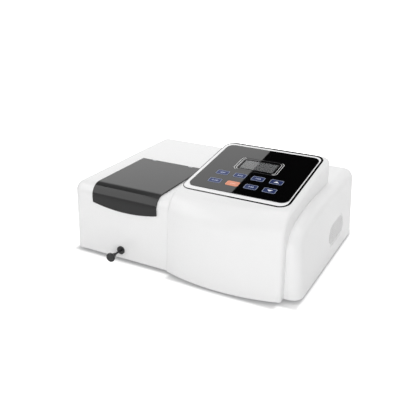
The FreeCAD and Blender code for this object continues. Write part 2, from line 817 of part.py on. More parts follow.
def top_housing():
    outer = housing_solid(0.0)
    shell = outer.cut(housing_solid(WALL))
    bosses = []
    for x, y in boss_places():
        bosses.append(cylinder(Vector(x, y, CHASSIS_TOP), Z_AXIS, BOSS_RADIUS, BOSS_TOP_HIGH - CHASSIS_TOP))
    trough_x = (LID_LEFT_X - BARREL_GAP, LID_RIGHT_X + BARREL_GAP)
    trough_radius = BARREL_RADIUS + BARREL_GAP
    rib_y = (HINGE_Y - trough_radius - WALL, HINGE_Y + trough_radius + WALL)
    rib = box((trough_x[0] - WALL, trough_x[1] + WALL), rib_y, (CEILING - TROUGH_RIB, CEILING + BITE))
    shell = joined([shell, rib] + [boss.common(outer) for boss in bosses])
    trough_base = Vector(trough_x[0], HINGE_Y, HINGE_Z)
    cuts = [cylinder(trough_base, X_AXIS, trough_radius, trough_x[1] - trough_x[0])]
    for x in (KNUCKLE_X_LEFT, KNUCKLE_X_RIGHT):
        slot_x = span(x, KNUCKLE_WIDTH + 2.0 * SLIP)
        slot_y = span(HINGE_Y, BRACKET_LEG + 2.0 * SLIP)
        cuts.append(box(slot_x, slot_y, (CEILING - FAR, HINGE_Z)))
    cuts.append(
        box(
            (OPENING_LEFT_X, OPENING_RIGHT_X),
            (FRONT_Y - FAR, FRONT_Y + OPENING_REAR_DEEP),
            (NOTCH_BOTTOM_HIGH, DECK_HIGH + FAR),
        )
    )
    for x, y in boss_places():
        cuts.append(cylinder(Vector(x, y, CHASSIS_TOP), Z_AXIS, SCREW_HOLE_RADIUS, SCREW_LENGTH))
    cuts.append(cylinder(Vector(ROD_X, FRONT_Y - FAR, ROD_HIGH), Y_AXIS, BUSHING_RADIUS, FAR + WALL + BITE))
    cuts.append(on_slope(panel_plate(4 * (0.0,), (-POCKET_DEPTH, FAR), PANEL_CORNER)))
    cuts.append(on_slope(panel_plate(4 * (LEDGE,), (-FAR, FAR), PANEL_CORNER - LEDGE)))
    cuts.append(on_side_wall(oval(VENT_LENGTH, VENT_HEIGHT, (-FAN_THICK, FAR))))
    panel_x = (PANEL_LEFT_X, PANEL_RIGHT_X)
    panel_z = (PANEL_BOTTOM_HIGH, PANEL_TOP_HIGH)
    cuts.append(box(panel_x, (REAR_Y - WALL - BITE, REAR_Y + FAR), panel_z))
    cuts.append(
        box(
            (PANEL_LEFT_X - PANEL_LIP, PANEL_RIGHT_X + PANEL_LIP),
            (REAR_Y - PANEL_THICK, REAR_Y + FAR),
            (PANEL_BOTTOM_HIGH - PANEL_LIP, PANEL_TOP_HIGH + PANEL_LIP),
        )
    )
    for cut in cuts:
        shell = shell.cut(cut)
    PIECES["top_housing"] = shell


def base_chassis():
    inside = housing_solid(WALL + CHASSIS_GAP)
    slab_z = (SHELL_BOTTOM_HIGH, CHASSIS_TOP)
    slab = box((-HOUSING_WIDTH, HOUSING_WIDTH), (FRONT_Y - FAR, REAR_Y + FAR), slab_z)
    plate = inside.common(slab)
    studs = []
    for x, y in board_studs():
        studs.append(cylinder(Vector(x, y, CHASSIS_TOP), Z_AXIS, STANDOFF_RADIUS, STANDOFF_HEIGHT))
    plate = joined([plate] + studs)
    for x, y in boss_places():
        below = Vector(x, y, SHELL_BOTTOM_HIGH)
        plate = plate.cut(cylinder(below, Z_AXIS, CHASSIS_SCREW_HOLE_RADIUS, CHASSIS_THICK))
    for x, y in foot_places():
        below = Vector(x, y, SHELL_BOTTOM_HIGH)
        plate = plate.cut(cylinder(below, Z_AXIS, FOOT_HOLE_RADIUS, CHASSIS_THICK))
    for i in range(BREATHER_COUNT):
        y = FRONT_Y + BREATHER_DEEP + (i - (BREATHER_COUNT - 1) / 2.0) * BREATHER_PITCH
        plate = plate.cut(box(span(BREATHER_X, BREATHER_LENGTH), span(y, BREATHER_WIDTH), slab_z))
    PIECES["base_chassis"] = plate


def board_studs():
    xs = (MAIN_BOARD_LEFT_X + STANDOFF_INSET, MAIN_BOARD_RIGHT_X - STANDOFF_INSET)
    ys = (MAIN_BOARD_FRONT_Y + STANDOFF_INSET, MAIN_BOARD_REAR_Y - STANDOFF_INSET)
    return [(x, y) for x in xs for y in ys]


def feet_and_screws():
    top = SHELL_BOTTOM_HIGH
    neck = FOOT_SPIGOT_RADIUS
    profile = [
        (0.0, 0.0),
        (FOOT_RADIUS - FOOT_TAPER, 0.0),
        (FOOT_RADIUS, top),
        (neck, top),
        (neck, CHASSIS_TOP + SLIP),
        (neck + FOOT_BARB, CHASSIS_TOP + FOOT_BARB),
        (neck - FOOT_BARB, CHASSIS_TOP + FOOT_BARB_HEIGHT),
        (0.0, CHASSIS_TOP + FOOT_BARB_HEIGHT),
    ]
    feet = [turned(profile, Vector(x, y, 0), Z_AXIS) for x, y in foot_places()]
    PIECES["rubber_feet"] = Part.makeCompound(feet)
    screws = []
    for x, y in boss_places():
        head = cylinder(Vector(x, y, top - SCREW_HEAD_HEIGHT), Z_AXIS, SCREW_HEAD_RADIUS, SCREW_HEAD_HEIGHT)
        shank = cylinder(Vector(x, y, top - BITE), Z_AXIS, SCREW_RADIUS, SCREW_LENGTH + BITE)
        screws.append(joined([head, shank]))
    PIECES["housing_screws"] = Part.makeCompound(screws)


def sample_well():
    left = (WELL_LEFT_X - WELL_WALL, WELL_LEFT_X)
    right = (WELL_RIGHT_X, WELL_RIGHT_X + WELL_WALL)
    front = FRONT_Y + WELL_FRONT_DEEP
    rear = FRONT_Y + WELL_REAR_DEEP
    near = FRONT_Y + WALL + SEAT_GAP
    whole_y = (front - WELL_WALL, rear + WELL_WALL)
    shelf_z = (WELL_FRONT_TOP_HIGH - WELL_FLANGE_THICK, WELL_FRONT_TOP_HIGH)
    flange_z = (WELL_TOP - WELL_FLANGE_THICK, WELL_TOP)
    wide = (left[0], right[1])
    walls = [
        box(wide, whole_y, (CHASSIS_TOP, WELL_FLOOR_TOP)),
        box(left, whole_y, (CHASSIS_TOP, WELL_TOP)),
        box(right, whole_y, (CHASSIS_TOP, WELL_TOP)),
        box(wide, (front - WELL_WALL, front), (CHASSIS_TOP, WELL_FRONT_TOP_HIGH)),
        box(wide, (rear, rear + WELL_WALL), (CHASSIS_TOP, WELL_TOP)),
        box(wide, (near, front), shelf_z),
    ]
    low_front = FRONT_Y + FRONT_ROUND
    for side in (left, right):
        walls.append(box(side, (near, front), (shelf_z[0], DECK_HIGH - FRONT_ROUND)))
    reach = WELL_FLANGE_REACH
    flange_x = (left[0] - reach, right[1] + reach)
    walls.append(box((flange_x[0], left[1]), (low_front, rear + WELL_WALL), flange_z))
    walls.append(box((right[0], flange_x[1]), (low_front, rear + WELL_WALL), flange_z))
    rib_front = HINGE_Y - BARREL_RADIUS - BARREL_GAP - WALL - SEAT_GAP
    walls.append(box(flange_x, (rear, rib_front), flange_z))
    well = joined(walls)
    for x in (left[0], right[0]):
        well = well.cut(cylinder(Vector(x, BEAM_Y, BEAM_HIGH), X_AXIS, BEAM_PORT_RADIUS, WELL_WALL))
    seats = [(left[0], left[0] + WINDOW_THICK), (right[1] - WINDOW_THICK, right[1])]
    windows = []
    for seat in seats:
        disc = cylinder(Vector(seat[0], BEAM_Y, BEAM_HIGH), X_AXIS, WINDOW_RADIUS, WINDOW_THICK)
        well = well.cut(disc)
        windows.append(disc)
    hole = cylinder(Vector(ROD_X, front - WELL_WALL, ROD_HIGH), Y_AXIS, BLOCK_ROD_HOLE, WELL_WALL)
    PIECES["sample_well"] = well.cut(hole)
    PIECES["beam_windows"] = Part.makeCompound(windows)


def compartment_lid():
    front = FRONT_Y - LID_LIFT - LID_WALL
    radius = FRONT_ROUND + LID_LIFT + LID_WALL
    inner = radius - LID_WALL
    low = LID_MIDDLE_HIGH - LID_WALL
    bend_y = front + radius
    bend_z = LID_TOP - radius
    part_way = math.cos(math.radians(45.0))
    width = LID_RIGHT_X - LID_LEFT_X
    face = outline(
        across(LID_LEFT_X),
        (front, low),
        (front, bend_z),
        (bend_y - part_way * radius, bend_z + part_way * radius, bend_y, LID_TOP),
        (HINGE_Y, LID_TOP),
        (HINGE_Y, LID_TOP - LID_WALL),
        (bend_y, LID_TOP - LID_WALL),
        (bend_y - part_way * inner, bend_z + part_way * inner, front + LID_WALL, bend_z),
        (front + LID_WALL, low),
    )
    plate = face.extrude(X_AXIS * width)
    middle_x = (LID_LEFT_X + LID_RIGHT_X) / 2.0
    below = outline(
        along(FRONT_Y - FAR),
        (LID_LEFT_X - BITE, LID_SIDE_HIGH),
        (middle_x, LID_MIDDLE_HIGH, LID_RIGHT_X + BITE, LID_SIDE_HIGH),
        (LID_RIGHT_X + BITE, low - BITE),
        (LID_LEFT_X - BITE, low - BITE),
    ).extrude(Y_AXIS * (FAR + FRONT_ROUND))
    plate = plate.cut(below)
    barrel = cylinder(Vector(LID_LEFT_X, HINGE_Y, HINGE_Z), X_AXIS, BARREL_RADIUS, width)
    skirt_x = (OPENING_LEFT_X + LID_SKIRT_GAP, OPENING_RIGHT_X - LID_SKIRT_GAP)
    skirt_y = (FRONT_Y + LID_SKIRT_FRONT_DEEP, FRONT_Y + OPENING_REAR_DEEP - LID_SKIRT_GAP)
    skirt_z = (LID_TOP - LID_WALL - LID_SKIRT_DROP, LID_TOP - LID_WALL)
    thick = LID_SKIRT_THICK
    skirts = [
        box((skirt_x[0], skirt_x[0] + thick), skirt_y, skirt_z),
        box((skirt_x[1] - thick, skirt_x[1]), skirt_y, skirt_z),
        box(skirt_x, (skirt_y[1] - thick, skirt_y[1]), skirt_z),
    ]
    lid = joined([plate, barrel] + skirts)
    for x in (KNUCKLE_X_LEFT, KNUCKLE_X_RIGHT):
        notch_x = span(x, KNUCKLE_WIDTH + 2.0 * KNUCKLE_SIDE_GAP)
        notch_y = (HINGE_Y - BARREL_RADIUS - BARREL_GAP, HINGE_Y + BARREL_RADIUS + BARREL_GAP)
        lid = lid.cut(box(notch_x, notch_y, span(HINGE_Z, 3.0 * BARREL_RADIUS)))
        bore_base = Vector(x - PIN_LENGTH / 2.0 - BITE, HINGE_Y, HINGE_Z)
        lid = lid.cut(cylinder(bore_base, X_AXIS, PIN_RADIUS + PIN_CLEARANCE, PIN_LENGTH + 2.0 * BITE))
    PIECES["compartment_lid"] = lid


def lid_hinges():
    brackets = []
    pins = []
    rib_bottom = CEILING - TROUGH_RIB
    for x in (KNUCKLE_X_LEFT, KNUCKLE_X_RIGHT):
        knuckle_x = span(x, KNUCKLE_WIDTH)
        eye = cylinder(Vector(knuckle_x[0], HINGE_Y, HINGE_Z), X_AXIS, KNUCKLE_RADIUS, KNUCKLE_WIDTH)
        leg = box(knuckle_x, span(HINGE_Y, BRACKET_LEG), (rib_bottom - BRACKET_FOOT_THICK, HINGE_Z))
        foot = box(
            knuckle_x, span(HINGE_Y, BRACKET_FOOT_LENGTH), (rib_bottom - BRACKET_FOOT_THICK, rib_bottom)
        )
        pin = cylinder(Vector(x - PIN_LENGTH / 2.0, HINGE_Y, HINGE_Z), X_AXIS, PIN_RADIUS, PIN_LENGTH)
        brackets.append(joined([eye, leg, foot]).cut(pin))
        pins.append(pin)
    PIECES["hinge_brackets"] = Part.makeCompound(brackets)
    PIECES["hinge_pins"] = Part.makeCompound(pins)


def cell_changer():
    holder_y = (HOLDER_FRONT_Y, HOLDER_FRONT_Y + HOLDER_LENGTH)
    holder = box(span(CELL_X, HOLDER_WIDTH), holder_y, (HOLDER_BOTTOM, HOLDER_TOP))
    springs = []
    slot_floor = HOLDER_BOTTOM + HOLDER_FLOOR
    for i in range(CELL_COUNT):
        y = BEAM_Y + i * CELL_PITCH
        holder = holder.cut(box(span(CELL_X, CELL_SLOT), span(y, CELL_SLOT), (slot_floor, HOLDER_TOP)))
        wall_y = y + CELL_SLOT / 2.0
        recess_y = (wall_y, wall_y + SPRING_RECESS)
        recess = box(span(CELL_X, SPRING_RECESS_WIDTH), recess_y, (slot_floor, HOLDER_TOP))
        holder = holder.cut(recess)
        port_base = Vector(CELL_X - HOLDER_WIDTH, y, BEAM_HIGH)
        port = cylinder(port_base, X_AXIS, APERTURE_RADIUS, 2.0 * HOLDER_WIDTH)
        holder = holder.cut(port)
        far_y = wall_y + SPRING_RECESS
        bend_y = wall_y + SPRING_THICK
        top = slot_floor + SPRING_HEIGHT
        leaf = outline(
            across(CELL_X - SPRING_WIDTH / 2.0),
            (far_y, slot_floor),
            (bend_y, slot_floor + SPRING_HEIGHT / 2.0, far_y, top),
            (far_y - SPRING_THICK, top),
            (bend_y - SPRING_THICK, slot_floor + SPRING_HEIGHT / 2.0, far_y - SPRING_THICK, slot_floor),
        )
        springs.append(leaf.extrude(X_AXIS * SPRING_WIDTH))
    PIECES["cell_holder"] = holder
    PIECES["cell_springs"] = Part.makeCompound(springs)
    base = box(span(CELL_X, CARRIAGE_WIDTH), holder_y, (CARRIAGE_BOTTOM_HIGH, CARRIAGE_TOP_HIGH))
    column_y = (holder_y[0] + COLUMN_SETBACK, holder_y[1] - COLUMN_SETBACK)
    column = box(span(CELL_X, COLUMN_WIDTH), column_y, (CARRIAGE_TOP_HIGH, HOLDER_BOTTOM))
    carriage = joined([base, column])
    for x in (CELL_X - RAIL_SPREAD, CELL_X + RAIL_SPREAD):
        bore_base = Vector(x, holder_y[0], ROD_HIGH)
        carriage = carriage.cut(cylinder(bore_base, Y_AXIS, RAIL_RADIUS + RAIL_CLEARANCE, HOLDER_LENGTH))
    edge = CELL_X - CARRIAGE_WIDTH / 2.0
    for i in range(CELL_COUNT):
        y = BEAM_Y + i * CELL_PITCH
        notch = outline(
            level(CARRIAGE_BOTTOM_HIGH),
            (edge - BITE, y - NOTCH_DEPTH - BITE),
            (edge + NOTCH_DEPTH, y),
            (edge - BITE, y + NOTCH_DEPTH + BITE),
        )
        carriage = carriage.cut(notch.extrude(Z_AXIS * (CARRIAGE_TOP_HIGH - CARRIAGE_BOTTOM_HIGH)))
    rod_y = FRONT_Y - ROD_REACH
    rod = cylinder(Vector(ROD_X, rod_y, ROD_HIGH), Y_AXIS, ROD_RADIUS, holder_y[0] + ROD_SEAT - rod_y)
    PIECES["cell_carriage"] = carriage.cut(rod)
    PIECES["pull_rod"] = rod
    PIECES["rod_knob"] = pull_knob().cut(rod)


def pull_knob():
    """A round knob turned in one with its tapered neck."""
    profile = [
        (0.0, 0.0),
        (KNOB_RADIUS, 0.0),
        (KNOB_RADIUS, KNOB_THICK),
        (KNOB_NECK_RADIUS, KNOB_THICK),
        (KNOB_NECK_TIP_RADIUS, KNOB_THICK + KNOB_NECK_LENGTH),
        (0.0, KNOB_THICK + KNOB_NECK_LENGTH),
    ]
    knob = turned(profile, Vector(ROD_X, FRONT_Y - KNOB_REACH, ROD_HIGH), Y_AXIS)
    rims = [e for e in knob.Edges if abs(getattr(e.Curve, "Radius", 0.0) - KNOB_RADIUS) < TOUCH]
    return knob.makeFillet(KNOB_ROUND, rims)


def changer_supports():
    front = FRONT_Y + WELL_FRONT_DEEP
    rear = FRONT_Y + WELL_REAR_DEEP
    rails = []
    for x in (CELL_X - RAIL_SPREAD, CELL_X + RAIL_SPREAD):
        rails.append(cylinder(Vector(x, front, ROD_HIGH), Y_AXIS, RAIL_RADIUS, rear - front))
    block_z = (WELL_FLOOR_TOP, BLOCK_TOP_HIGH)
    block_x = span(CELL_X, BLOCK_WIDTH)
    front_block = box(block_x, (front, front + BLOCK_THICK), block_z)
    rod_hole = cylinder(Vector(ROD_X, front, ROD_HIGH), Y_AXIS, BLOCK_ROD_HOLE, BLOCK_THICK)
    front_block = front_block.cut(rod_hole)
    rear_block = box(block_x, (rear - BLOCK_THICK, rear), block_z)
    for rail in rails:
        front_block = front_block.cut(rail)
        rear_block = rear_block.cut(rail)
    PIECES["guide_rails"] = Part.makeCompound(rails)
    PIECES["rail_blocks"] = Part.makeCompound([front_block, rear_block])
    tip = CELL_X - CARRIAGE_WIDTH / 2.0 - PLUNGER_GAP
    body_x = (tip - 2.0 * PLUNGER_RADIUS - PLUNGER_BODY + PLUNGER_WIDTH, tip - PLUNGER_RADIUS)
    body = box(body_x, span(BEAM_Y, PLUNGER_WIDTH), (WELL_FLOOR_TOP, BLOCK_TOP_HIGH))
    ball = Part.makeSphere(PLUNGER_RADIUS, Vector(tip - PLUNGER_RADIUS, BEAM_Y, ROD_HIGH))
    PIECES["detent_plunger"] = joined([body, ball])
    flange_y = FRONT_Y - BUSHING_FLANGE
    flange = cylinder(Vector(ROD_X, flange_y, ROD_HIGH), Y_AXIS, BUSHING_FLANGE_RADIUS, BUSHING_FLANGE)
    tail = cylinder(Vector(ROD_X, FRONT_Y - BITE, ROD_HIGH), Y_AXIS, BUSHING_RADIUS, BUSHING_TAIL + BITE)
    bore_length = BUSHING_FLANGE + BUSHING_TAIL
    bore = cylinder(Vector(ROD_X, flange_y, ROD_HIGH), Y_AXIS, ROD_RADIUS + RAIL_CLEARANCE, bore_length)
    PIECES["rod_bushing"] = joined([flange, tail]).cut(bore)


def mirror(y, turn):
    """A round concave mirror that faces left, turned about the upright axis, and its pedestal."""
    disc = cylinder(Vector(0, 0, 0), X_AXIS, MIRROR_RADIUS, MIRROR_THICK)
    sag = MIRROR_CURVE - math.sqrt(MIRROR_CURVE**2 - MIRROR_RADIUS**2)
    hollow = Part.makeSphere(MIRROR_CURVE, Vector(sag - MIRROR_CURVE, 0, 0))
    disc = disc.cut(hollow)
    low = MONO_FLOOR_TOP - BITE - BEAM_HIGH
    pedestal = box((0.0, MIRROR_THICK), span(0.0, PEDESTAL_LENGTH), (low, -MIRROR_RADIUS))
    back = box((MIRROR_THICK, MIRROR_THICK + MONO_WALL), span(0.0, PEDESTAL_LENGTH), (low, 0.0))
    place = Placement(Vector(MIRROR_X, y, BEAM_HIGH), Rotation(Z_AXIS, turn))
    placed = []
    for shape in (disc, joined([pedestal, back])):
        moved = shape.copy()
        moved.Placement = place
        placed.append(moved)
    return placed


def monochromator():
    outer_y = (FRONT_Y + MONO_FRONT_DEEP, FRONT_Y + MONO_REAR_DEEP)
    base = box((MONO_LEFT_X, MONO_RIGHT_X), outer_y, (CHASSIS_TOP, MONO_TOP_HIGH))
    inner_x = (MONO_LEFT_X + MONO_WALL, MONO_RIGHT_X - MONO_WALL)
    inner_y = (outer_y[0] + MONO_WALL, outer_y[1] - MONO_WALL)
    base = base.cut(box(inner_x, inner_y, (MONO_FLOOR_TOP, MONO_TOP_HIGH)))
    collimator, collimator_pedestal = mirror(SOURCE_Y - MIRROR_INSET, MIRROR_TURN)
    focuser, focuser_pedestal = mirror(BEAM_Y + MIRROR_INSET, -MIRROR_TURN)
    half_side = MOTOR_SIDE / 2.0
    plate_z = (MOTOR_BOTTOM_HIGH - MOTOR_PLATE, MOTOR_BOTTOM_HIGH)
    shelf = box(span(PINION_X, MOTOR_SIDE), span(TURRET_Y, MOTOR_SIDE), plate_z)
    post_x = (PINION_X + half_side - MOTOR_POST, PINION_X + half_side)
    post = box(post_x, span(TURRET_Y, MOTOR_SIDE), (MONO_FLOOR_TOP - BITE, plate_z[1]))
    base = joined([base, collimator_pedestal, focuser_pedestal, shelf, post])
    base = base.cut(cylinder(Vector(PINION_X, TURRET_Y, plate_z[0]), Z_AXIS, MOTOR_PLATE_HOLE, MOTOR_PLATE))
    slits = []
    for y in (BEAM_Y, SOURCE_Y):
        hole = cylinder(Vector(MONO_LEFT_X, y, BEAM_HIGH), X_AXIS, SLIT_HOLE_RADIUS, MONO_WALL)
        base = base.cut(hole)
        plate_x = (MONO_LEFT_X - SLIT_PLATE_THICK, MONO_LEFT_X)
        plate = box(plate_x, span(y, SLIT_PLATE_WIDTH), span(BEAM_HIGH, SLIT_PLATE_HEIGHT))
        slits.append(plate.cut(box(plate_x, span(y, SLIT_WIDTH), span(BEAM_HIGH, SLIT_HEIGHT))))
    bearing = Vector(TURRET_X, TURRET_Y, MONO_FLOOR_TOP - MONO_WALL)
    bore = TURRET_SHAFT_RADIUS + TURRET_CLEARANCE
    PIECES["monochromator_base"] = base.cut(cylinder(bearing, Z_AXIS, bore, MONO_WALL))
    cover_z = (MONO_TOP_HIGH, MONO_TOP_HIGH + MONO_COVER)
    cover = box((MONO_LEFT_X, MONO_RIGHT_X), outer_y, cover_z)
    heads = []
    for x in (inner_x[0], (inner_x[0] + inner_x[1]) / 2.0, inner_x[1]):
        for y in (inner_y[0], inner_y[1]):
            base = Vector(x, y, cover_z[1] - BITE)
            heads.append(cylinder(base, Z_AXIS, MONO_SCREW_RADIUS, MONO_SCREW_HEIGHT + BITE))
    PIECES["monochromator_cover"] = joined([cover] + heads)
    PIECES["slit_plates"] = Part.makeCompound(slits)
    PIECES["collimating_mirror"] = collimator
    PIECES["focusing_mirror"] = focuser


def involute(angle):
    return math.tan(angle) - angle


def gear(teeth, kept, bore, thick):
    """An involute gear at the origin. Only the kept teeth about the +X direction are cut, and the sector
    between them runs in to the bore. An odd number of kept teeth puts a tooth on +X, and an even number puts
    a gap on +X and on -X."""
    pitch = GEAR_MODULE * teeth / 2.0
    base = pitch * math.cos(math.radians(PRESSURE_ANGLE))
    tip = pitch + ADDENDUM * GEAR_MODULE
    root = pitch - DEDENDUM * GEAR_MODULE
    play = TOOTH_PLAY / pitch
    half_tooth = math.pi / (2.0 * teeth) - play / 2.0 + involute(math.radians(PRESSURE_ANGLE))
    start = max(base, root)
    flank = []
    for step in range(5):
        radius = start + (tip - start) * step / 4.0
        flank.append((radius, half_tooth - involute(math.acos(min(1.0, base / radius)))))
    foot = [(root, flank[0][1])] if root < base - TOUCH else []
    points = []
    pitch_angle = 2.0 * math.pi / teeth
    first = -(kept - 1) / 2.0
    for i in range(kept):
        middle = (first + i) * pitch_angle
        for radius, angle in foot + flank:
            points.append((radius, middle - angle))
        for radius, angle in reversed(foot + flank):
            points.append((radius, middle + angle))
    if kept < teeth:
        points.append((bore, points[-1][1]))
        points.append((bore, points[0][1]))
    corners = [Vector(r * math.cos(a), r * math.sin(a), 0) for r, a in points]
    return Part.Face(Part.makePolygon(corners + corners[:1])).extrude(Z_AXIS * thick)


def grating_drive():
    shaft_bottom = MONO_FLOOR_TOP - MONO_WALL + SLIP
    axis = Vector(TURRET_X, TURRET_Y, 0)
    shaft_base = axis + Z_AXIS * shaft_bottom
    shaft = cylinder(shaft_base, Z_AXIS, TURRET_SHAFT_RADIUS, TURRET_TABLE_HIGH - shaft_bottom)
    table = cylinder(axis + Z_AXIS * TURRET_TABLE_HIGH, Z_AXIS, TURRET_RADIUS, TURRET_TABLE_THICK)
    collar_z = GEAR_BOTTOM_HIGH
    collar_radius = GEAR_BORE + COLLAR_WALL
    collar = cylinder(axis + Z_AXIS * collar_z, Z_AXIS, collar_radius, TURRET_TABLE_HIGH - collar_z)
    sector = gear(SECTOR_TEETH, SECTOR_KEPT, GEAR_BORE, GEAR_THICK)
    sector.translate(axis + Z_AXIS * GEAR_BOTTOM_HIGH)
    table_top = TURRET_TABLE_HIGH + TURRET_TABLE_THICK
    grating_z = span(BEAM_HIGH, GRATING_SIZE)
    back_x = (TURRET_X - GRATING_BACK, TURRET_X)
    width_y = span(TURRET_Y, GRATING_SIZE - 2.0 * GRATING_BACK)
    back = box(back_x, width_y, (table_top - BITE, grating_z[1]))
    shelf_x = (TURRET_X - BITE, TURRET_X + GRATING_THICK)
    shelf = box(shelf_x, width_y, (table_top - BITE, grating_z[0]))
    PIECES["grating_turret"] = joined([shaft, collar, sector, table, back, shelf])
    PIECES["grating"] = box((TURRET_X, TURRET_X + GRATING_THICK), span(TURRET_Y, GRATING_SIZE), grating_z)
    pinion = gear(PINION_TEETH, PINION_TEETH, 0.0, GEAR_THICK + 2.0 * PINION_OVERHANG)
    pinion.translate(Vector(PINION_X, TURRET_Y, GEAR_BOTTOM_HIGH - PINION_OVERHANG))
    low = MONO_FLOOR_TOP + SEAT_GAP
    top = MOTOR_BOTTOM_HIGH + MOTOR_SHAFT_SEAT - SLIP
    spindle = cylinder(Vector(PINION_X, TURRET_Y, low), Z_AXIS, MOTOR_SHAFT_RADIUS, top - low)
    PIECES["drive_pinion"] = joined([pinion, spindle])
    motor_z = (MOTOR_BOTTOM_HIGH, MOTOR_BOTTOM_HIGH + MOTOR_HEIGHT)
    motor = chamfered_plate(span(PINION_X, MOTOR_SIDE), span(TURRET_Y, MOTOR_SIDE), motor_z, MOTOR_CHAMFER)
    bore = MOTOR_SHAFT_RADIUS + MOTOR_SHAFT_CLEARANCE
    seat = cylinder(Vector(PINION_X, TURRET_Y, MOTOR_BOTTOM_HIGH), Z_AXIS, bore, MOTOR_SHAFT_SEAT)
    PIECES["grating_motor"] = motor.cut(seat)


def light_source():
    house_y = span(SOURCE_Y, LAMP_HOUSE_WIDTH)
    house_x = (LAMP_HOUSE_LEFT_X, LAMP_HOUSE_RIGHT_X)
    wall = LAMP_HOUSE_WALL
    inner_x = (house_x[0] + wall, house_x[1] - wall)
    inner_y = (house_y[0] + wall, house_y[1] - wall)
    house = box(house_x, house_y, (CHASSIS_TOP, LAMP_HOUSE_TOP_HIGH))
    house = house.cut(box(inner_x, inner_y, (CHASSIS_TOP + wall, LAMP_HOUSE_TOP_HIGH - wall)))
    post_z = (CHASSIS_TOP + wall - BITE, LAMP_POST_TOP_HIGH)
    post = box(span(LAMP_X, LAMP_POST_SIDE), span(SOURCE_Y, LAMP_POST_SIDE), post_z)
    snout_base = Vector(house_x[1] - BITE, SOURCE_Y, BEAM_HIGH)
    snout = cylinder(snout_base, X_AXIS, SNOUT_RADIUS, SNOUT_LENGTH + BITE)
    house = joined([house, post, snout])
    bore_base = Vector(inner_x[1], SOURCE_Y, BEAM_HIGH)
    house = house.cut(cylinder(bore_base, X_AXIS, LENS_RADIUS, SNOUT_LENGTH + wall))
    top_z = (LAMP_HOUSE_TOP_HIGH - wall, LAMP_HOUSE_TOP_HIGH)
    for i in range(LAMP_SLOT_COUNT):
        x = (house_x[0] + house_x[1]) / 2.0 + (i - (LAMP_SLOT_COUNT - 1) / 2.0) * LAMP_SLOT_PITCH
        house = house.cut(box(span(x, BREATHER_WIDTH), span(SOURCE_Y, LAMP_HOUSE_WIDTH / 2.0), top_z))
    PIECES["lamp_house"] = house
    glass_low = LAMP_POST_TOP_HIGH + LAMP_RADIUS
    profile = [
        (0.0, glass_low),
        (LAMP_RADIUS, glass_low),
        (LAMP_RADIUS, glass_low + LAMP_HEIGHT - LAMP_RADIUS),
        (LAMP_RADIUS / 2.0, glass_low + LAMP_HEIGHT),
        (0.0, glass_low + LAMP_HEIGHT),
    ]
    glass = turned(profile, Vector(LAMP_X, SOURCE_Y, 0), Z_AXIS)
    pinch_z = (LAMP_POST_TOP_HIGH, glass_low + BITE)
    pinch = box(span(LAMP_X, LAMP_PINCH_WIDTH), span(SOURCE_Y, LAMP_RADIUS), pinch_z)
    PIECES["halogen_lamp"] = joined([glass, pinch])
    lens_x = house_x[1] + SNOUT_LENGTH / 2.0
    curve = (LENS_RADIUS**2 + LENS_BULGE**2) / (2.0 * LENS_BULGE)
    half_angle = math.asin(LENS_RADIUS / curve) / 2.0
    edge = LENS_EDGE / 2.0
    crown = edge + LENS_BULGE
    part_way = crown - curve + curve * math.cos(half_angle)
    rise = curve * math.sin(half_angle)
    face = outline(
        lambda x, r: Vector(lens_x + x, SOURCE_Y + r, BEAM_HIGH),
        (-crown, 0.0),
        (-part_way, rise, -edge, LENS_RADIUS),
        (edge, LENS_RADIUS),
        (part_way, rise, crown, 0.0),
    )
    lens = face.revolve(Vector(lens_x, SOURCE_Y, BEAM_HIGH), X_AXIS, 360.0)
    PIECES["condenser_lens"] = lens


def filter_stage():
    wheel_base = Vector(WHEEL_X - WHEEL_THICK / 2.0, SOURCE_Y, WHEEL_Z)
    disc = cylinder(wheel_base, X_AXIS, WHEEL_RADIUS, WHEEL_THICK)
    hub = cylinder(wheel_base, X_AXIS, WHEEL_HUB_RADIUS, WHEEL_HUB_LENGTH + BITE)
    motor_left = WHEEL_X - WHEEL_THICK / 2.0 + WHEEL_HUB_LENGTH + BITE + FILTER_MOTOR_GAP
    shaft_length = motor_left + WHEEL_SHAFT_SEAT - SLIP - wheel_base.x
    shaft = cylinder(wheel_base, X_AXIS, WHEEL_SHAFT_RADIUS, shaft_length)
    wheel = joined([disc, hub, shaft])
    filters = []
    for i in range(FILTER_COUNT):
        angle = 2.0 * math.pi * i / FILTER_COUNT
        y = SOURCE_Y + WHEEL_PITCH_RADIUS * math.sin(angle)
        z = WHEEL_Z + WHEEL_PITCH_RADIUS * math.cos(angle)
        glass = cylinder(Vector(wheel_base.x, y, z), X_AXIS, FILTER_RADIUS, WHEEL_THICK)
        wheel = wheel.cut(glass)
        filters.append(glass)
    PIECES["filter_wheel"] = wheel
    PIECES["order_filters"] = Part.makeCompound(filters)
    motor_base = Vector(motor_left, SOURCE_Y, WHEEL_Z)
    motor = cylinder(motor_base, X_AXIS, FILTER_MOTOR_RADIUS, MONO_LEFT_X - motor_left)
    bore = WHEEL_SHAFT_RADIUS + MOTOR_SHAFT_CLEARANCE
    seat = cylinder(motor_base, X_AXIS, bore, WHEEL_SHAFT_SEAT)
    slit_room = box(
        (MONO_LEFT_X - SLIT_PLATE_THICK, MONO_LEFT_X),
        span(SOURCE_Y, SLIT_PLATE_WIDTH),
        span(BEAM_HIGH, SLIT_PLATE_HEIGHT),
    )
    PIECES["filter_motor"] = motor.cut(seat).cut(slit_room)


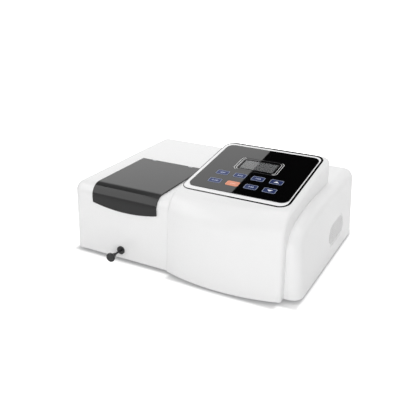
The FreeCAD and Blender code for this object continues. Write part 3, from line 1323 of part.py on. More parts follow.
def detector():
    left = DETECTOR_FROM_WALL - half_width(DETECTOR_TOP_HIGH, WALL)
    case_x = (left, WELL_LEFT_X - WELL_WALL - DETECTOR_FROM_WELL)
    case_y = span(BEAM_Y, DETECTOR_WIDTH)
    wall = DETECTOR_WALL
    case = box(case_x, case_y, (CHASSIS_TOP, DETECTOR_TOP_HIGH))
    inner_x = (case_x[0], case_x[1] - wall)
    inner_y = (case_y[0] + wall, case_y[1] - wall)
    inner_z = (CHASSIS_TOP + wall, DETECTOR_TOP_HIGH - wall)
    case = case.cut(box(inner_x, inner_y, inner_z))
    port = cylinder(Vector(inner_x[1], BEAM_Y, BEAM_HIGH), X_AXIS, DETECTOR_PORT, wall)
    PIECES["detector_housing"] = case.cut(port)
    board_x = span((case_x[0] + case_x[1]) / 2.0, BOARD_THICK)
    board = box(board_x, inner_y, inner_z)
    can_base = Vector(board_x[1] - BITE, BEAM_Y, BEAM_HIGH)
    can = cylinder(can_base, X_AXIS, PHOTODIODE_RADIUS, PHOTODIODE_LENGTH + BITE)
    amplifier = box(
        (board_x[0] - AMPLIFIER_THICK, board_x[0] + BITE),
        span(BEAM_Y, AMPLIFIER_SIDE),
        span(BEAM_HIGH - AMPLIFIER_BELOW_BEAM, AMPLIFIER_SIDE),
    )
    PIECES["detector_board"] = joined([board, can, amplifier])


def main_board():
    board_y = (MAIN_BOARD_FRONT_Y, MAIN_BOARD_REAR_Y)
    board_z = (CHASSIS_TOP + STANDOFF_HEIGHT, CHASSIS_TOP + STANDOFF_HEIGHT + BOARD_THICK)
    board = box((MAIN_BOARD_LEFT_X, MAIN_BOARD_RIGHT_X), board_y, board_z)
    middle_x = (MAIN_BOARD_LEFT_X + MAIN_BOARD_RIGHT_X) / 2.0
    middle_y = (board_y[0] + board_y[1]) / 2.0
    top = board_z[1]
    processor_z = (top - BITE, top + PROCESSOR_HEIGHT)
    memory_x = span(middle_x + MEMORY_X, MEMORY_LENGTH)
    memory_y = span(middle_y + MEMORY_Y, MEMORY_WIDTH)
    relay_x = span(middle_x + RELAY_X, RELAY_SIDE)
    relay_y = span(middle_y + RELAY_Y, RELAY_SIDE)
    chips = [
        box(span(middle_x, PROCESSOR_SIDE), span(middle_y, PROCESSOR_SIDE), processor_z),
        box(memory_x, memory_y, (top - BITE, top + MEMORY_HEIGHT)),
        box(relay_x, relay_y, (top - BITE, top + RELAY_HEIGHT)),
    ]
    for i in range(CAPACITOR_COUNT):
        x = middle_x + CAPACITOR_X + i * CAPACITOR_PITCH
        base = Vector(x, middle_y + CAPACITOR_Y, top - BITE)
        chips.append(cylinder(base, Z_AXIS, CAPACITOR_RADIUS, CAPACITOR_HEIGHT + BITE))
    PIECES["main_board"] = joined([board] + chips)


def power_supply():
    """Stands behind the optics, clear of the fan on the right wall and in front of the rear foot."""
    right = half_width(VENT_HIGH, WALL + FAN_THICK) - SUPPLY_FROM_FAN
    foot_front = REAR_Y - FOOT_FROM_REAR - FOOT_SPIGOT_RADIUS - FOOT_BARB
    case_x = (right - SUPPLY_WIDTH, right)
    case_y = (FRONT_Y + MONO_REAR_DEEP + SUPPLY_FROM_MONO, foot_front - SUPPLY_FROM_FOOT)
    case_z = (CHASSIS_TOP, CHASSIS_TOP + SUPPLY_HEIGHT)
    supply = box(case_x, case_y, case_z)
    slot_x = span((case_x[0] + case_x[1]) / 2.0, SUPPLY_SLOT_LENGTH)
    slot_z = (case_z[1] - SUPPLY_SLOT_DEPTH, case_z[1])
    for i in range(SUPPLY_SLOT_COUNT):
        y = (case_y[0] + case_y[1]) / 2.0 + (i - (SUPPLY_SLOT_COUNT - 1) / 2.0) * SUPPLY_SLOT_PITCH
        supply = supply.cut(box(slot_x, span(y, SUPPLY_SLOT_WIDTH), slot_z))
    PIECES["power_supply"] = supply


def usb_port():
    board_top = CHASSIS_TOP + STANDOFF_HEIGHT + BOARD_THICK
    usb_y = (REAR_Y - USB_DEPTH, REAR_Y)
    usb_z = (board_top, board_top + USB_HEIGHT)
    port = box(span(USB_X, USB_WIDTH), usb_y, usb_z)
    inner_x = span(USB_X, USB_WIDTH - 2.0 * USB_SHELL)
    inner_z = (usb_z[0] + USB_SHELL, usb_z[1] - USB_SHELL)
    port = port.cut(box(inner_x, (usb_y[0] + USB_SHELL, usb_y[1]), inner_z))
    tongue_z = span((usb_z[0] + usb_z[1]) / 2.0, USB_TONGUE_HEIGHT)
    tongue_y = (usb_y[0], usb_y[1] - USB_TONGUE_SETBACK)
    tongue = box(span(USB_X, USB_TONGUE_WIDTH), tongue_y, tongue_z)
    PIECES["usb_port"] = joined([port, tongue])


def side_vent():
    depth = (-WALL, -VENT_RECESS)
    length = VENT_LENGTH - 2.0 * VENT_GAP
    height = VENT_HEIGHT - 2.0 * VENT_GAP
    ring = oval(length, height, depth)
    ring = ring.cut(oval(length - 2.0 * VENT_FRAME, height - 2.0 * VENT_FRAME, depth))
    room = oval(length - VENT_FRAME, height - VENT_FRAME, depth)
    slats = []
    pitch = (height - 2.0 * VENT_FRAME) / SLAT_COUNT
    middle_x = (depth[0] + depth[1]) / 2.0
    for i in range(SLAT_COUNT):
        z = (i - (SLAT_COUNT - 1) / 2.0) * pitch
        slat = box(span(0.0, 2.0 * WALL), span(0.0, length), span(0.0, SLAT_THICK))
        slat.Placement = Placement(Vector(middle_x, 0, z), Rotation(Y_AXIS, SLAT_TILT))
        slats.append(slat.common(room))
    PIECES["vent_grille"] = on_side_wall(joined([ring] + slats))


def fan():
    outer = -WALL
    inner = outer - FAN_THICK
    frame = box((inner, outer), span(0.0, FAN_SIDE), span(0.0, FAN_SIDE))
    rounded = [e for e in frame.Edges if abs(e.tangentAt(e.FirstParameter).x) > HALF]
    frame = frame.makeFillet(FAN_CORNER, rounded)
    frame = frame.cut(cylinder(Vector(inner, 0, 0), X_AXIS, FAN_BORE, FAN_THICK))
    seat_x = (inner, inner + FAN_SEAT_THICK)
    seat = cylinder(Vector(inner, 0, 0), X_AXIS, FAN_HUB_RADIUS, FAN_SEAT_THICK)
    struts = [
        box(seat_x, span(0.0, FAN_STRUT), span(0.0, 2.0 * (FAN_BORE + BITE))),
        box(seat_x, span(0.0, 2.0 * (FAN_BORE + BITE)), span(0.0, FAN_STRUT)),
    ]
    frame = joined([frame, seat] + struts)
    bore = FAN_AXLE_RADIUS + MOTOR_SHAFT_CLEARANCE
    frame = frame.cut(cylinder(Vector(inner, 0, 0), X_AXIS, bore, FAN_SEAT_THICK))
    PIECES["fan_frame"] = on_side_wall(frame)
    hub_x = (seat_x[1] + SEAT_GAP, outer - FAN_HUB_INSET)
    hub = cylinder(Vector(hub_x[0], 0, 0), X_AXIS, FAN_HUB_RADIUS, hub_x[1] - hub_x[0])
    axle = cylinder(Vector(inner + SLIP, 0, 0), X_AXIS, FAN_AXLE_RADIUS, hub_x[0] - inner)
    blades = []
    middle_x = (hub_x[0] + hub_x[1]) / 2.0
    for i in range(FAN_BLADE_COUNT):
        reach = (FAN_HUB_RADIUS - 2.0 * BITE, FAN_TIP_RADIUS)
        blade = box(span(0.0, FAN_BLADE_CHORD), span(0.0, FAN_BLADE_THICK), reach)
        blade.rotate(Vector(0, 0, 0), Z_AXIS, FAN_BLADE_PITCH)
        blade.rotate(Vector(0, 0, 0), X_AXIS, 360.0 * i / FAN_BLADE_COUNT)
        blade.translate(Vector(middle_x, 0, 0))
        blades.append(blade)
    room = cylinder(Vector(hub_x[0], 0, 0), X_AXIS, FAN_TIP_RADIUS, hub_x[1] - hub_x[0])
    impeller = joined([hub, axle] + [blade.common(room) for blade in blades])
    PIECES["fan_impeller"] = on_side_wall(impeller)


def rear_fittings():
    gap = PANEL_GAP
    plate_y = (REAR_Y - PANEL_THICK, REAR_Y)
    plate = box(
        (PANEL_LEFT_X - PANEL_LIP + gap, PANEL_RIGHT_X + PANEL_LIP - gap),
        plate_y,
        (PANEL_BOTTOM_HIGH - PANEL_LIP + gap, PANEL_TOP_HIGH + PANEL_LIP - gap),
    )
    inlet_x = span(INLET_X, INLET_WIDTH)
    inlet_z = span(INLET_HIGH, INLET_HEIGHT)
    plate = plate.cut(box(inlet_x, plate_y, inlet_z))
    usb_x = span(USB_X, USB_WIDTH + 2.0 * gap)
    usb_low = CHASSIS_TOP + STANDOFF_HEIGHT + BOARD_THICK - gap
    plate = plate.cut(box(usb_x, plate_y, (usb_low, usb_low + USB_HEIGHT + 2.0 * gap)))
    for i in range(PANEL_SLOT_COUNT):
        x = PANEL_SLOT_X + i * PANEL_SLOT_PITCH
        plate = plate.cut(box(span(x, PANEL_SLOT_WIDTH), plate_y, span(INLET_HIGH, PANEL_SLOT_HEIGHT)))
    PIECES["rear_panel"] = plate
    body = box(inlet_x, (REAR_Y - INLET_DEPTH, REAR_Y + BITE), inlet_z)
    flange = rounded_plate(
        span(INLET_X, INLET_WIDTH + 2.0 * INLET_FLANGE),
        span(INLET_HIGH, INLET_HEIGHT + 2.0 * INLET_FLANGE),
        (0.0, INLET_FLANGE_THICK),
        INLET_FLANGE_THICK,
    )
    flange.rotate(Vector(INLET_X, INLET_HIGH, 0), X_AXIS, 90.0)
    flange.translate(Vector(0, REAR_Y + INLET_FLANGE_THICK - INLET_HIGH, INLET_HIGH))
    inlet = joined([body, flange])
    face_y = REAR_Y + INLET_FLANGE_THICK
    socket_x = inlet_x[0] + SOCKET_FROM_LEFT
    half_w = SOCKET_WIDTH / 2.0
    half_h = SOCKET_HEIGHT / 2.0
    cavity = outline(
        along(face_y - SOCKET_DEPTH),
        (socket_x - half_w, INLET_HIGH - half_h),
        (socket_x - half_w, INLET_HIGH + half_h - SOCKET_CHAMFER),
        (socket_x - half_w + SOCKET_CHAMFER, INLET_HIGH + half_h),
        (socket_x + half_w - SOCKET_CHAMFER, INLET_HIGH + half_h),
        (socket_x + half_w, INLET_HIGH + half_h - SOCKET_CHAMFER),
        (socket_x + half_w, INLET_HIGH - half_h),
    ).extrude(Y_AXIS * (SOCKET_DEPTH + BITE))
    inlet = inlet.cut(cavity)
    blades = []
    blade_y = (face_y - SOCKET_DEPTH - BITE, face_y - SOCKET_DEPTH + BLADE_LENGTH)
    for dx, dz in ((-BLADE_SPREAD, -BLADE_RISE), (BLADE_SPREAD, -BLADE_RISE), (0.0, BLADE_RISE)):
        blades.append(box(span(socket_x + dx, BLADE_WIDTH), blade_y, span(INLET_HIGH + dz, BLADE_HEIGHT)))
    inlet = joined([inlet] + blades)
    rocker_x = inlet_x[1] - ROCKER_FROM_RIGHT
    window_x = span(rocker_x, ROCKER_WIDTH + 2.0 * ROCKER_GAP)
    window_z = span(INLET_HIGH, ROCKER_HEIGHT + 2.0 * ROCKER_GAP)
    window_y = (face_y - ROCKER_DEPTH - ROCKER_ROOM, face_y + BITE)
    inlet = inlet.cut(box(window_x, window_y, window_z))
    pivot = Vector(rocker_x, face_y - ROCKER_PIVOT_DEPTH, INLET_HIGH)
    trunnion_x = span(rocker_x, ROCKER_WIDTH + 2.0 * (ROCKER_GAP + ROCKER_TRUNNION_SEAT))
    hole_radius = ROCKER_TRUNNION + ROCKER_CLEARANCE
    hole_base = Vector(trunnion_x[0] - BITE, pivot.y, pivot.z)
    hole_length = trunnion_x[1] - trunnion_x[0] + 2.0 * BITE
    inlet = inlet.cut(cylinder(hole_base, X_AXIS, hole_radius, hole_length))
    PIECES["mains_inlet"] = inlet
    reach = ROCKER_TIP
    rocker_face = outline(
        across(rocker_x - ROCKER_WIDTH / 2.0),
        (face_y + ROCKER_LIFT, pivot.z - reach),
        (face_y - BITE, pivot.z),
        (face_y + ROCKER_LIFT, pivot.z + reach),
        (face_y - ROCKER_PIVOT_DEPTH, pivot.z + reach),
        (face_y - ROCKER_DEPTH, pivot.z + ROCKER_HEEL),
        (face_y - ROCKER_DEPTH, pivot.z - ROCKER_HEEL),
        (face_y - ROCKER_PIVOT_DEPTH, pivot.z - reach),
    )
    rocker = rocker_face.extrude(X_AXIS * ROCKER_WIDTH)
    trunnion_base = Vector(trunnion_x[0], pivot.y, pivot.z)
    trunnion = cylinder(trunnion_base, X_AXIS, ROCKER_TRUNNION, trunnion_x[1] - trunnion_x[0])
    rocker = joined([rocker, trunnion])
    rocker.rotate(pivot, X_AXIS, -ROCKER_TILT)
    PIECES["switch_rocker"] = rocker


def key_places():
    return [(u, v) for v in KEY_ROWS for u in KEY_COLUMNS]


def console_panel():
    strip_w = (-POCKET_DEPTH, STRIP_PROUD)
    strip_margins = (STRIP_LEFT, STRIP_RIGHT, STRIP_FRONT, STRIP_REAR)
    strip = panel_plate(4 * (0.0,), strip_w, PANEL_CORNER)
    strip = strip.cut(panel_plate(strip_margins, strip_w, STRIP_CORNER))
    PIECES["console_strip"] = on_slope(strip)
    bezel_margins = [margin + BEZEL_GAP for margin in strip_margins]
    bezel_w = (-POCKET_DEPTH, 0.0)
    bezel = panel_plate(bezel_margins, bezel_w, STRIP_CORNER - BEZEL_GAP)
    overlay_margins = (OVERLAY_LEFT, OVERLAY_RIGHT, OVERLAY_FRONT, OVERLAY_REAR)
    overlay_w = (0.0, OVERLAY_THICK)
    overlay = panel_plate(overlay_margins, overlay_w, OVERLAY_CORNER)
    flange_w = -POCKET_DEPTH - KEY_FLANGE_GAP
    switch_top = flange_w - KEY_FLANGE_THICK - KEY_TRAVEL_GAP - SWITCH_BUTTON_HEIGHT
    board_top = switch_top - SWITCH_HEIGHT
    switches = []
    for number, (u, v) in enumerate(key_places(), 1):
        window_u = span(u, KEY_WIDTH + 2.0 * KEY_GAP)
        window_v = span(v, KEY_LENGTH + 2.0 * KEY_GAP)
        bezel = bezel.cut(box(window_u, window_v, bezel_w))
        overlay = overlay.cut(rounded_plate(window_u, window_v, overlay_w, KEY_CORNER + KEY_GAP))
        cap_w = (flange_w - BITE, OVERLAY_THICK + KEY_PROUD)
        cap = rounded_plate(span(u, KEY_WIDTH), span(v, KEY_LENGTH), cap_w, KEY_CORNER)
        flange_u = span(u, KEY_WIDTH + 2.0 * KEY_FLANGE)
        flange_v = span(v, KEY_LENGTH + 2.0 * KEY_FLANGE)
        flange = box(flange_u, flange_v, (flange_w - KEY_FLANGE_THICK, flange_w))
        PIECES["key_%d" % number] = on_slope(joined([cap, flange]))
        switch = box(span(u, SWITCH_SIDE), span(v, SWITCH_SIDE), (board_top, switch_top))
        button_w = (switch_top - BITE, switch_top + SWITCH_BUTTON_HEIGHT)
        button = box(span(u, SWITCH_BUTTON), span(v, SWITCH_BUTTON), button_w)
        switches.append(on_slope(joined([switch, button])))
    PIECES["key_switches"] = Part.makeCompound(switches)
    frame_u = span(DISPLAY_U, DISPLAY_FRAME_WIDTH)
    frame_v = span(DISPLAY_V, DISPLAY_FRAME_LENGTH)
    overlay = overlay.cut(chamfered_plate(frame_u, frame_v, overlay_w, DISPLAY_FRAME_CHAMFER))
    PIECES["key_overlay"] = on_slope(overlay)
    window = chamfered_plate(
        span(DISPLAY_U, DISPLAY_FRAME_WIDTH - 2.0 * DISPLAY_WINDOW_GAP),
        span(DISPLAY_V, DISPLAY_FRAME_LENGTH - 2.0 * DISPLAY_WINDOW_GAP),
        (0.0, OVERLAY_THICK - DISPLAY_WINDOW_SINK),
        DISPLAY_FRAME_CHAMFER,
    )
    PIECES["display_window"] = on_slope(window)
    hole_u = span(DISPLAY_U, DISPLAY_WIDTH + 2.0 * DISPLAY_GAP)
    hole_v = span(DISPLAY_V, DISPLAY_LENGTH + 2.0 * DISPLAY_GAP)
    bezel = bezel.cut(box(hole_u, hole_v, bezel_w))
    module_w = (board_top, -DISPLAY_SINK)
    module = box(span(DISPLAY_U, DISPLAY_WIDTH), span(DISPLAY_V, DISPLAY_LENGTH), module_w)
    PIECES["display_module"] = on_slope(module)
    reach_u = KEY_WIDTH / 2.0 + KEYBOARD_MARGIN
    front_v = KEY_ROWS[0] - KEY_LENGTH / 2.0 - KEYBOARD_MARGIN
    rear_v = DISPLAY_V + DISPLAY_LENGTH / 2.0 + KEYBOARD_MARGIN
    board_u = (KEY_COLUMNS[0] - reach_u, KEY_COLUMNS[-1] + reach_u)
    board = box(board_u, (front_v, rear_v), (board_top - BOARD_THICK, board_top))
    PIECES["keypad_board"] = on_slope(board)
    pillars = []
    for u in (board_u[0] + PILLAR_INSET, board_u[1] - PILLAR_INSET):
        for v in (front_v + PILLAR_INSET, rear_v - PILLAR_INSET):
            pillar_height = BITE - POCKET_DEPTH - board_top
            pillars.append(cylinder(Vector(u, v, board_top), Z_AXIS, PILLAR_RADIUS, pillar_height))
    PIECES["console_bezel"] = on_slope(joined([bezel] + pillars))


def main():
    top_housing()
    base_chassis()
    feet_and_screws()
    sample_well()
    compartment_lid()
    lid_hinges()
    cell_changer()
    changer_supports()
    monochromator()
    grating_drive()
    light_source()
    filter_stage()
    detector()
    main_board()
    power_supply()
    usb_port()
    side_vent()
    fan()
    rear_fittings()
    console_panel()
    os.makedirs("parts", exist_ok=True)
    for name, shape in PIECES.items():
        shape.exportStep("parts/" + name + ".step")


main()
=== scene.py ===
"""The look of the scanning spectrophotometer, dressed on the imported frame.

Lengths are in metres, in the frame's own axes: +X to the right, +Y to the rear and +Z up.
"""

import json
import math

import bpy
from mathutils import Matrix, Vector


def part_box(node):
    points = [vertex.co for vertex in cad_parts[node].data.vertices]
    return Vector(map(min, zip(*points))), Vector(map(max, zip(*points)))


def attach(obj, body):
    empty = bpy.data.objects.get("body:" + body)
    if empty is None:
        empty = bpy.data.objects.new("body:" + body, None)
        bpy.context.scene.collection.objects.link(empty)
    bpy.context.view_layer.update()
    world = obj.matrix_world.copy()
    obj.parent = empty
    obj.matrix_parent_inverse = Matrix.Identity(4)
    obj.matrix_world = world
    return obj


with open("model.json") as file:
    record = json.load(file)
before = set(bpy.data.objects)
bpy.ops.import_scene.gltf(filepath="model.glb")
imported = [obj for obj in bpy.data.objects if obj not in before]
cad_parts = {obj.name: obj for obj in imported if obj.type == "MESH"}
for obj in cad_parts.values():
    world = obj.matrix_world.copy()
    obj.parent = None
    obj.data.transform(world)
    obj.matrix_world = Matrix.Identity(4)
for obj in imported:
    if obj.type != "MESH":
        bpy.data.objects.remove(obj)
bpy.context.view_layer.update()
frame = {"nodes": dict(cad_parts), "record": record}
MM = 0.001

# The console panel's own axes: u to the right, v up the slope, w out of the panel
SLOPE = math.radians(8.3)
PANEL_DEEP = 32.5 * MM
PANEL_HIGH = 159.2 * MM + PANEL_DEEP * math.tan(SLOPE)
SHELL_LENGTH = 338.0 * MM
REAR_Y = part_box("rear_panel")[1].y
FRONT_Y = REAR_Y - SHELL_LENGTH
PANEL = Matrix.Translation((0, FRONT_Y + PANEL_DEEP, PANEL_HIGH)) @ Matrix.Rotation(SLOPE, 4, "X")
OVERLAY_TOP = 1.0
KEY_TOP = 1.2
WINDOW_TOP = 0.7
MODULE_TOP = -0.2
DISPLAY_MIDDLE = (93.5, 121.5)
KEY_COLUMNS = (41.0, 76.2, 111.6, 147.1)
KEY_ROWS = (44.4, 75.8)
KEY_MARKS = {1: "0.00", 2: "100", 3: "340", 5: "405", 6: "500", 7: "700"}
ORANGE_KEY = 2
ARROW_WAYS = {4: -1, 8: 1}

# Loops around a key's middle: width, length and corner radius
RIM_OUTER = (24.2, 15.4, 2.9)
RIM_INNER = (22.2, 13.4, 1.9)
RIM_SOFT = 0.02 * MM
ARROW = ((-5.2, -2.2), (5.2, -2.2), (0.0, 2.6))
MARK_SIZE = 5.6
MARK_WIDE = 1.3
MARK_THICK = 0.02

# Loops around the display's middle: width, length and cut of the corners
MASK_OUTER = (84.8, 47.8, 5.0)
MASK_INNER = (66.0, 33.0, 0.6)
EDGE_OUTER = (71.0, 37.0, 1.2)
SCREEN_OUTER = (67.0, 34.0, 0.4)
TRIM_OUTER = (86.2, 49.2, 5.4)
TRIM_INNER = (85.0, 48.0, 5.0)
TRIM_SOFT = 0.05 * MM
BRACKET_HALF = (43.2, 24.7)
BRACKET_CUT = 5.6
BRACKET_WIDE = 0.8
BRACKET_GAPS = (0.0, 4.2)

# How much of its gap a bracket's ends and cuts move by, and the share of its width that mitres its corners
BRACKET_ENDS = 0.6
BRACKET_CUTS = 0.3
BRACKET_MITRE = 0.4
BRACKET_SUNK = 0.02
BRACKET_PROUD = 0.15

# Bottom and top of each print, measured out of the panel
RIM_LAYER = (KEY_TOP - 0.02, KEY_TOP + 0.06)
ARROW_LAYER = (KEY_TOP - 0.01, KEY_TOP + 0.05)
MARK_MIDDLE = KEY_TOP + 0.03
MASK_LAYER = (WINDOW_TOP - 0.01, WINDOW_TOP + 0.04)
EDGE_LAYER = (WINDOW_TOP - 0.01, WINDOW_TOP + 0.06)
SCREEN_LAYER = (MODULE_TOP - 0.02, MODULE_TOP + 0.12)
TRIM_LAYER = (OVERLAY_TOP - 0.3, OVERLAY_TOP + 0.12)


# Materials

GRAIN_DEPTH = 0.06 * MM


def material(name):
    """A new material, its node tree and its shader."""
    mat = bpy.data.materials.new(name)
    mat.use_nodes = True
    tree = mat.node_tree
    return mat, tree, tree.nodes["Principled BSDF"]


def node(tree, kind, **inputs):
    made = tree.nodes.new(kind)
    for key, value in inputs.items():
        made.inputs[key.replace("_", " ")].default_value = value
    return made


def noise(tree, scale, detail=3.0, stretch=(1.0, 1.0, 1.0)):
    """A noise texture in object space. The stretch multiplies the scale along each axis."""
    place = tree.nodes.new("ShaderNodeTexCoord")
    mapping = node(tree, "ShaderNodeMapping", Scale=stretch)
    texture = node(tree, "ShaderNodeTexNoise", Scale=scale, Detail=detail)
    tree.links.new(place.outputs["Object"], mapping.inputs["Vector"])
    tree.links.new(mapping.outputs["Vector"], texture.inputs["Vector"])
    return texture.outputs["Fac"]


def spread(tree, source, low, high):
    """Maps the middle of a noise onto a range."""
    ranged = tree.nodes.new("ShaderNodeMapRange")
    for key, value in (("From Min", 0.3), ("From Max", 0.7), ("To Min", low), ("To Max", high)):
        ranged.inputs[key].default_value = value
    tree.links.new(source, ranged.inputs["Value"])
    return ranged.outputs["Result"]


def tint(tree, source, color, variation):
    """The colour, varied a little darker and lighter by a noise."""
    mix = tree.nodes.new("ShaderNodeMix")
    mix.data_type = "RGBA"
    dark = [c * (1.0 - variation) for c in color]
    light = [min(1.0, c * (1.0 + variation)) for c in color]
    mix.inputs["A"].default_value = (*dark, 1.0)
    mix.inputs["B"].default_value = (*light, 1.0)
    tree.links.new(spread(tree, source, 0.0, 1.0), mix.inputs["Factor"])
    return mix.outputs["Result"]


def textured(name, color, rough, metallic=0.0, grain=2200.0, bump=0.08, variation=0.03, rough_span=0.04,
             cloud=9.0, stretch=(1.0, 1.0, 1.0), coat=0.0, coat_rough=0.05, ior=1.5, soften=0.0):
    """A surface with a fine grain in its bump and slow variation in its colour and roughness. Its sharp
    edges are shaded as if rounded by the radius to soften."""
    mat, tree, shader = material(name)
    shader.inputs["Metallic"].default_value = metallic
    shader.inputs["IOR"].default_value = ior
    shader.inputs["Coat Weight"].default_value = coat
    shader.inputs["Coat Roughness"].default_value = coat_rough
    slow = noise(tree, cloud, 4.0)
    tree.links.new(tint(tree, slow, color, variation), shader.inputs["Base Color"])
    fine = noise(tree, grain, 2.0, stretch)
    tree.links.new(spread(tree, fine, rough - rough_span, rough + rough_span), shader.inputs["Roughness"])
    relief = node(tree, "ShaderNodeBump", Strength=bump, Distance=GRAIN_DEPTH)
    tree.links.new(fine, relief.inputs["Height"])
    if soften:
        rounded = node(tree, "ShaderNodeBevel", Radius=soften)
        tree.links.new(rounded.outputs["Normal"], relief.inputs["Normal"])
    tree.links.new(relief.outputs["Normal"], shader.inputs["Normal"])
    return mat


def glassy(name, color, rough):
    """A clear material whose tint and roughness vary a little."""
    mat, tree, shader = material(name)
    shader.inputs["Transmission Weight"].default_value = 1.0
    shader.inputs["IOR"].default_value = 1.48
    slow = noise(tree, 20.0, 2.0)
    tree.links.new(tint(tree, slow, color, 0.02), shader.inputs["Base Color"])
    tree.links.new(spread(tree, slow, rough, rough * 1.6), shader.inputs["Roughness"])
    return mat


BRUSHED = (0.05, 1.0, 1.0)
MATERIALS = {
    "white_plastic": textured("shell_white", (0.86, 0.86, 0.86), 0.3, bump=0.05, variation=0.012, coat=0.05,
                              coat_rough=0.12, soften=0.5 * MM),
    "grey_plastic": textured("lid_grey", (0.005, 0.005, 0.0053), 0.14, grain=1600.0, bump=0.05,
                             variation=0.08, ior=1.46, soften=0.6 * MM),
    "black_gloss": textured("panel_black", (0.001, 0.0009, 0.001), 0.018, bump=0.0, rough_span=0.006,
                            variation=0.1, ior=1.58),
    "black_plastic": textured("black_plastic", (0.012, 0.012, 0.013), 0.36, bump=0.12, variation=0.12,
                              soften=0.3 * MM),
    "blue_key": textured("key_blue", (0.014, 0.032, 0.14), 0.2, metallic=0.3, bump=0.05, variation=0.08,
                         soften=0.2 * MM),
    "orange_key": textured("key_orange", (0.78, 0.29, 0.18), 0.25, bump=0.05, variation=0.04,
                           soften=0.2 * MM),
    "clear_window": glassy("window_glass", (0.93, 0.94, 0.95), 0.005),
    "display": textured("display_frame", (0.02, 0.022, 0.025), 0.45, variation=0.1),
    "optical_glass": glassy("optical_glass", (0.95, 0.98, 0.99), 0.01),
    "filter_glass": glassy("filter_glass", (0.9, 0.4, 0.12), 0.02),
    "lamp_glass": glassy("lamp_glass", (0.97, 0.97, 0.95), 0.02),
    "mirror_glass": textured("mirror_coating", (0.9, 0.91, 0.92), 0.04, metallic=1.0, bump=0.01,
                             rough_span=0.01),
    "bright_steel": textured("bright_steel", (0.62, 0.63, 0.65), 0.14, metallic=1.0, bump=0.04),
    "steel": textured("plain_steel", (0.5, 0.51, 0.53), 0.3, metallic=1.0, bump=0.08, stretch=BRUSHED),
    "spring_steel": textured("spring_steel", (0.58, 0.58, 0.58), 0.24, metallic=1.0, bump=0.06,
                             stretch=BRUSHED),
    "anodised": textured("black_anodised", (0.018, 0.018, 0.02), 0.42, grain=3000.0, bump=0.1, variation=0.1,
                         soften=0.2 * MM),
    "aluminium": textured("machined_aluminium", (0.6, 0.61, 0.63), 0.32, metallic=1.0, bump=0.08,
                          stretch=BRUSHED),
    "grey_paint": textured("grey_paint", (0.42, 0.43, 0.45), 0.45, grain=1500.0, bump=0.2, variation=0.04),
    "zinc_sheet": textured("zinc_sheet", (0.52, 0.54, 0.56), 0.36, metallic=1.0, cloud=60.0, variation=0.12),
    "rubber": textured("foot_rubber", (0.012, 0.012, 0.012), 0.75, bump=0.25, variation=0.2),
    "circuit_board": textured("board_green", (0.012, 0.1, 0.035), 0.35, bump=0.1, variation=0.15),
    "brass": textured("machined_brass", (0.6, 0.4, 0.14), 0.25, metallic=1.0, bump=0.06),
    "motor_case": textured("motor_black", (0.02, 0.02, 0.022), 0.4, bump=0.1, variation=0.1),
}
RIM_BLUE = textured("key_rim", (0.27, 0.31, 0.42), 0.3, bump=0.03)
RIM_ORANGE = textured("key_rim_warm", (0.9, 0.36, 0.2), 0.3, bump=0.03)
MARK_LIGHT = textured("key_mark", (0.58, 0.64, 0.85), 0.35, bump=0.03)
MARK_WHITE = textured("key_mark_white", (0.85, 0.87, 0.93), 0.35, bump=0.03)
MARK_WARM = textured("key_mark_warm", (0.93, 0.6, 0.48), 0.35, bump=0.03)
BEZEL_WHITE = textured("bezel_white", (0.94, 0.94, 0.945), 0.3, bump=0.04, variation=0.01, soften=0.4 * MM)
# Painted shade: a matte black ring, kept from reflecting, stands for the shadow lines at the display's inner
# edges
EDGE_PAINTED_SHADE = textured("display_edge_painted_shade", (0.001, 0.001, 0.001), 0.6, bump=0.02, ior=1.2)
# Painted glints of the display's bevel: a light copy for its bright left and right edges, a dim copy for its
# top and bottom
TRIM_PAINTED_GLINT = textured("display_trim_painted_glint", (0.88, 0.88, 0.88), 0.25, bump=0.02)
TRIM_PAINTED_DIM_GLINT = textured("display_trim_painted_dim_glint", (0.05, 0.05, 0.052), 0.2, bump=0.02)


def lcd_material():
    """A liquid crystal screen that is off: grey, with its faint grid of cells."""
    mat, tree, shader = material("lcd_screen")
    place = tree.nodes.new("ShaderNodeTexCoord")
    grid = node(tree, "ShaderNodeTexBrick", Scale=1400.0, Mortar_Size=0.06)
    grid.offset = 0.0
    grid.inputs["Color1"].default_value = (0.036, 0.0365, 0.036, 1.0)
    grid.inputs["Color2"].default_value = (0.039, 0.0395, 0.039, 1.0)
    grid.inputs["Mortar"].default_value = (0.029, 0.0295, 0.029, 1.0)
    tree.links.new(place.outputs["Object"], grid.inputs["Vector"])
    tree.links.new(grid.outputs["Color"], shader.inputs["Base Color"])
    slow = noise(tree, 30.0)
    tree.links.new(spread(tree, slow, 0.3, 0.4), shader.inputs["Roughness"])
    shader.inputs["Specular IOR Level"].default_value = 0.1
    return mat


def paint(obj, mat):
    obj.data.materials.clear()
    obj.data.materials.append(mat)


def linked(name, data):
    """A new object in the scene, made from its data."""
    obj = bpy.data.objects.new(name, data)
    bpy.context.scene.collection.objects.link(obj)
    return obj


slot_of = {part["node"]: part["material_slot"] for part in frame["record"]["subparts"]}
for name, obj in frame["nodes"].items():
    paint(obj, MATERIALS[slot_of[name]])
paint(frame["nodes"]["console_bezel"], BEZEL_WHITE)
paint(frame["nodes"]["console_strip"], MATERIALS["black_gloss"])


# Flat shapes in millimetres of the panel's axes or the rear panel's

def rounded_loop(width, length, radius):
    steps = 6
    points = []
    for corner in range(4):
        turn = math.pi / 2.0 * corner
        x = (width / 2.0 - radius) * (1 if corner in (0, 3) else -1)
        y = (length / 2.0 - radius) * (1 if corner in (0, 1) else -1)
        for i in range(steps + 1):
            angle = turn + math.pi / 2.0 * i / steps
            points.append((x + radius * math.cos(angle), y + radius * math.sin(angle)))
    return points


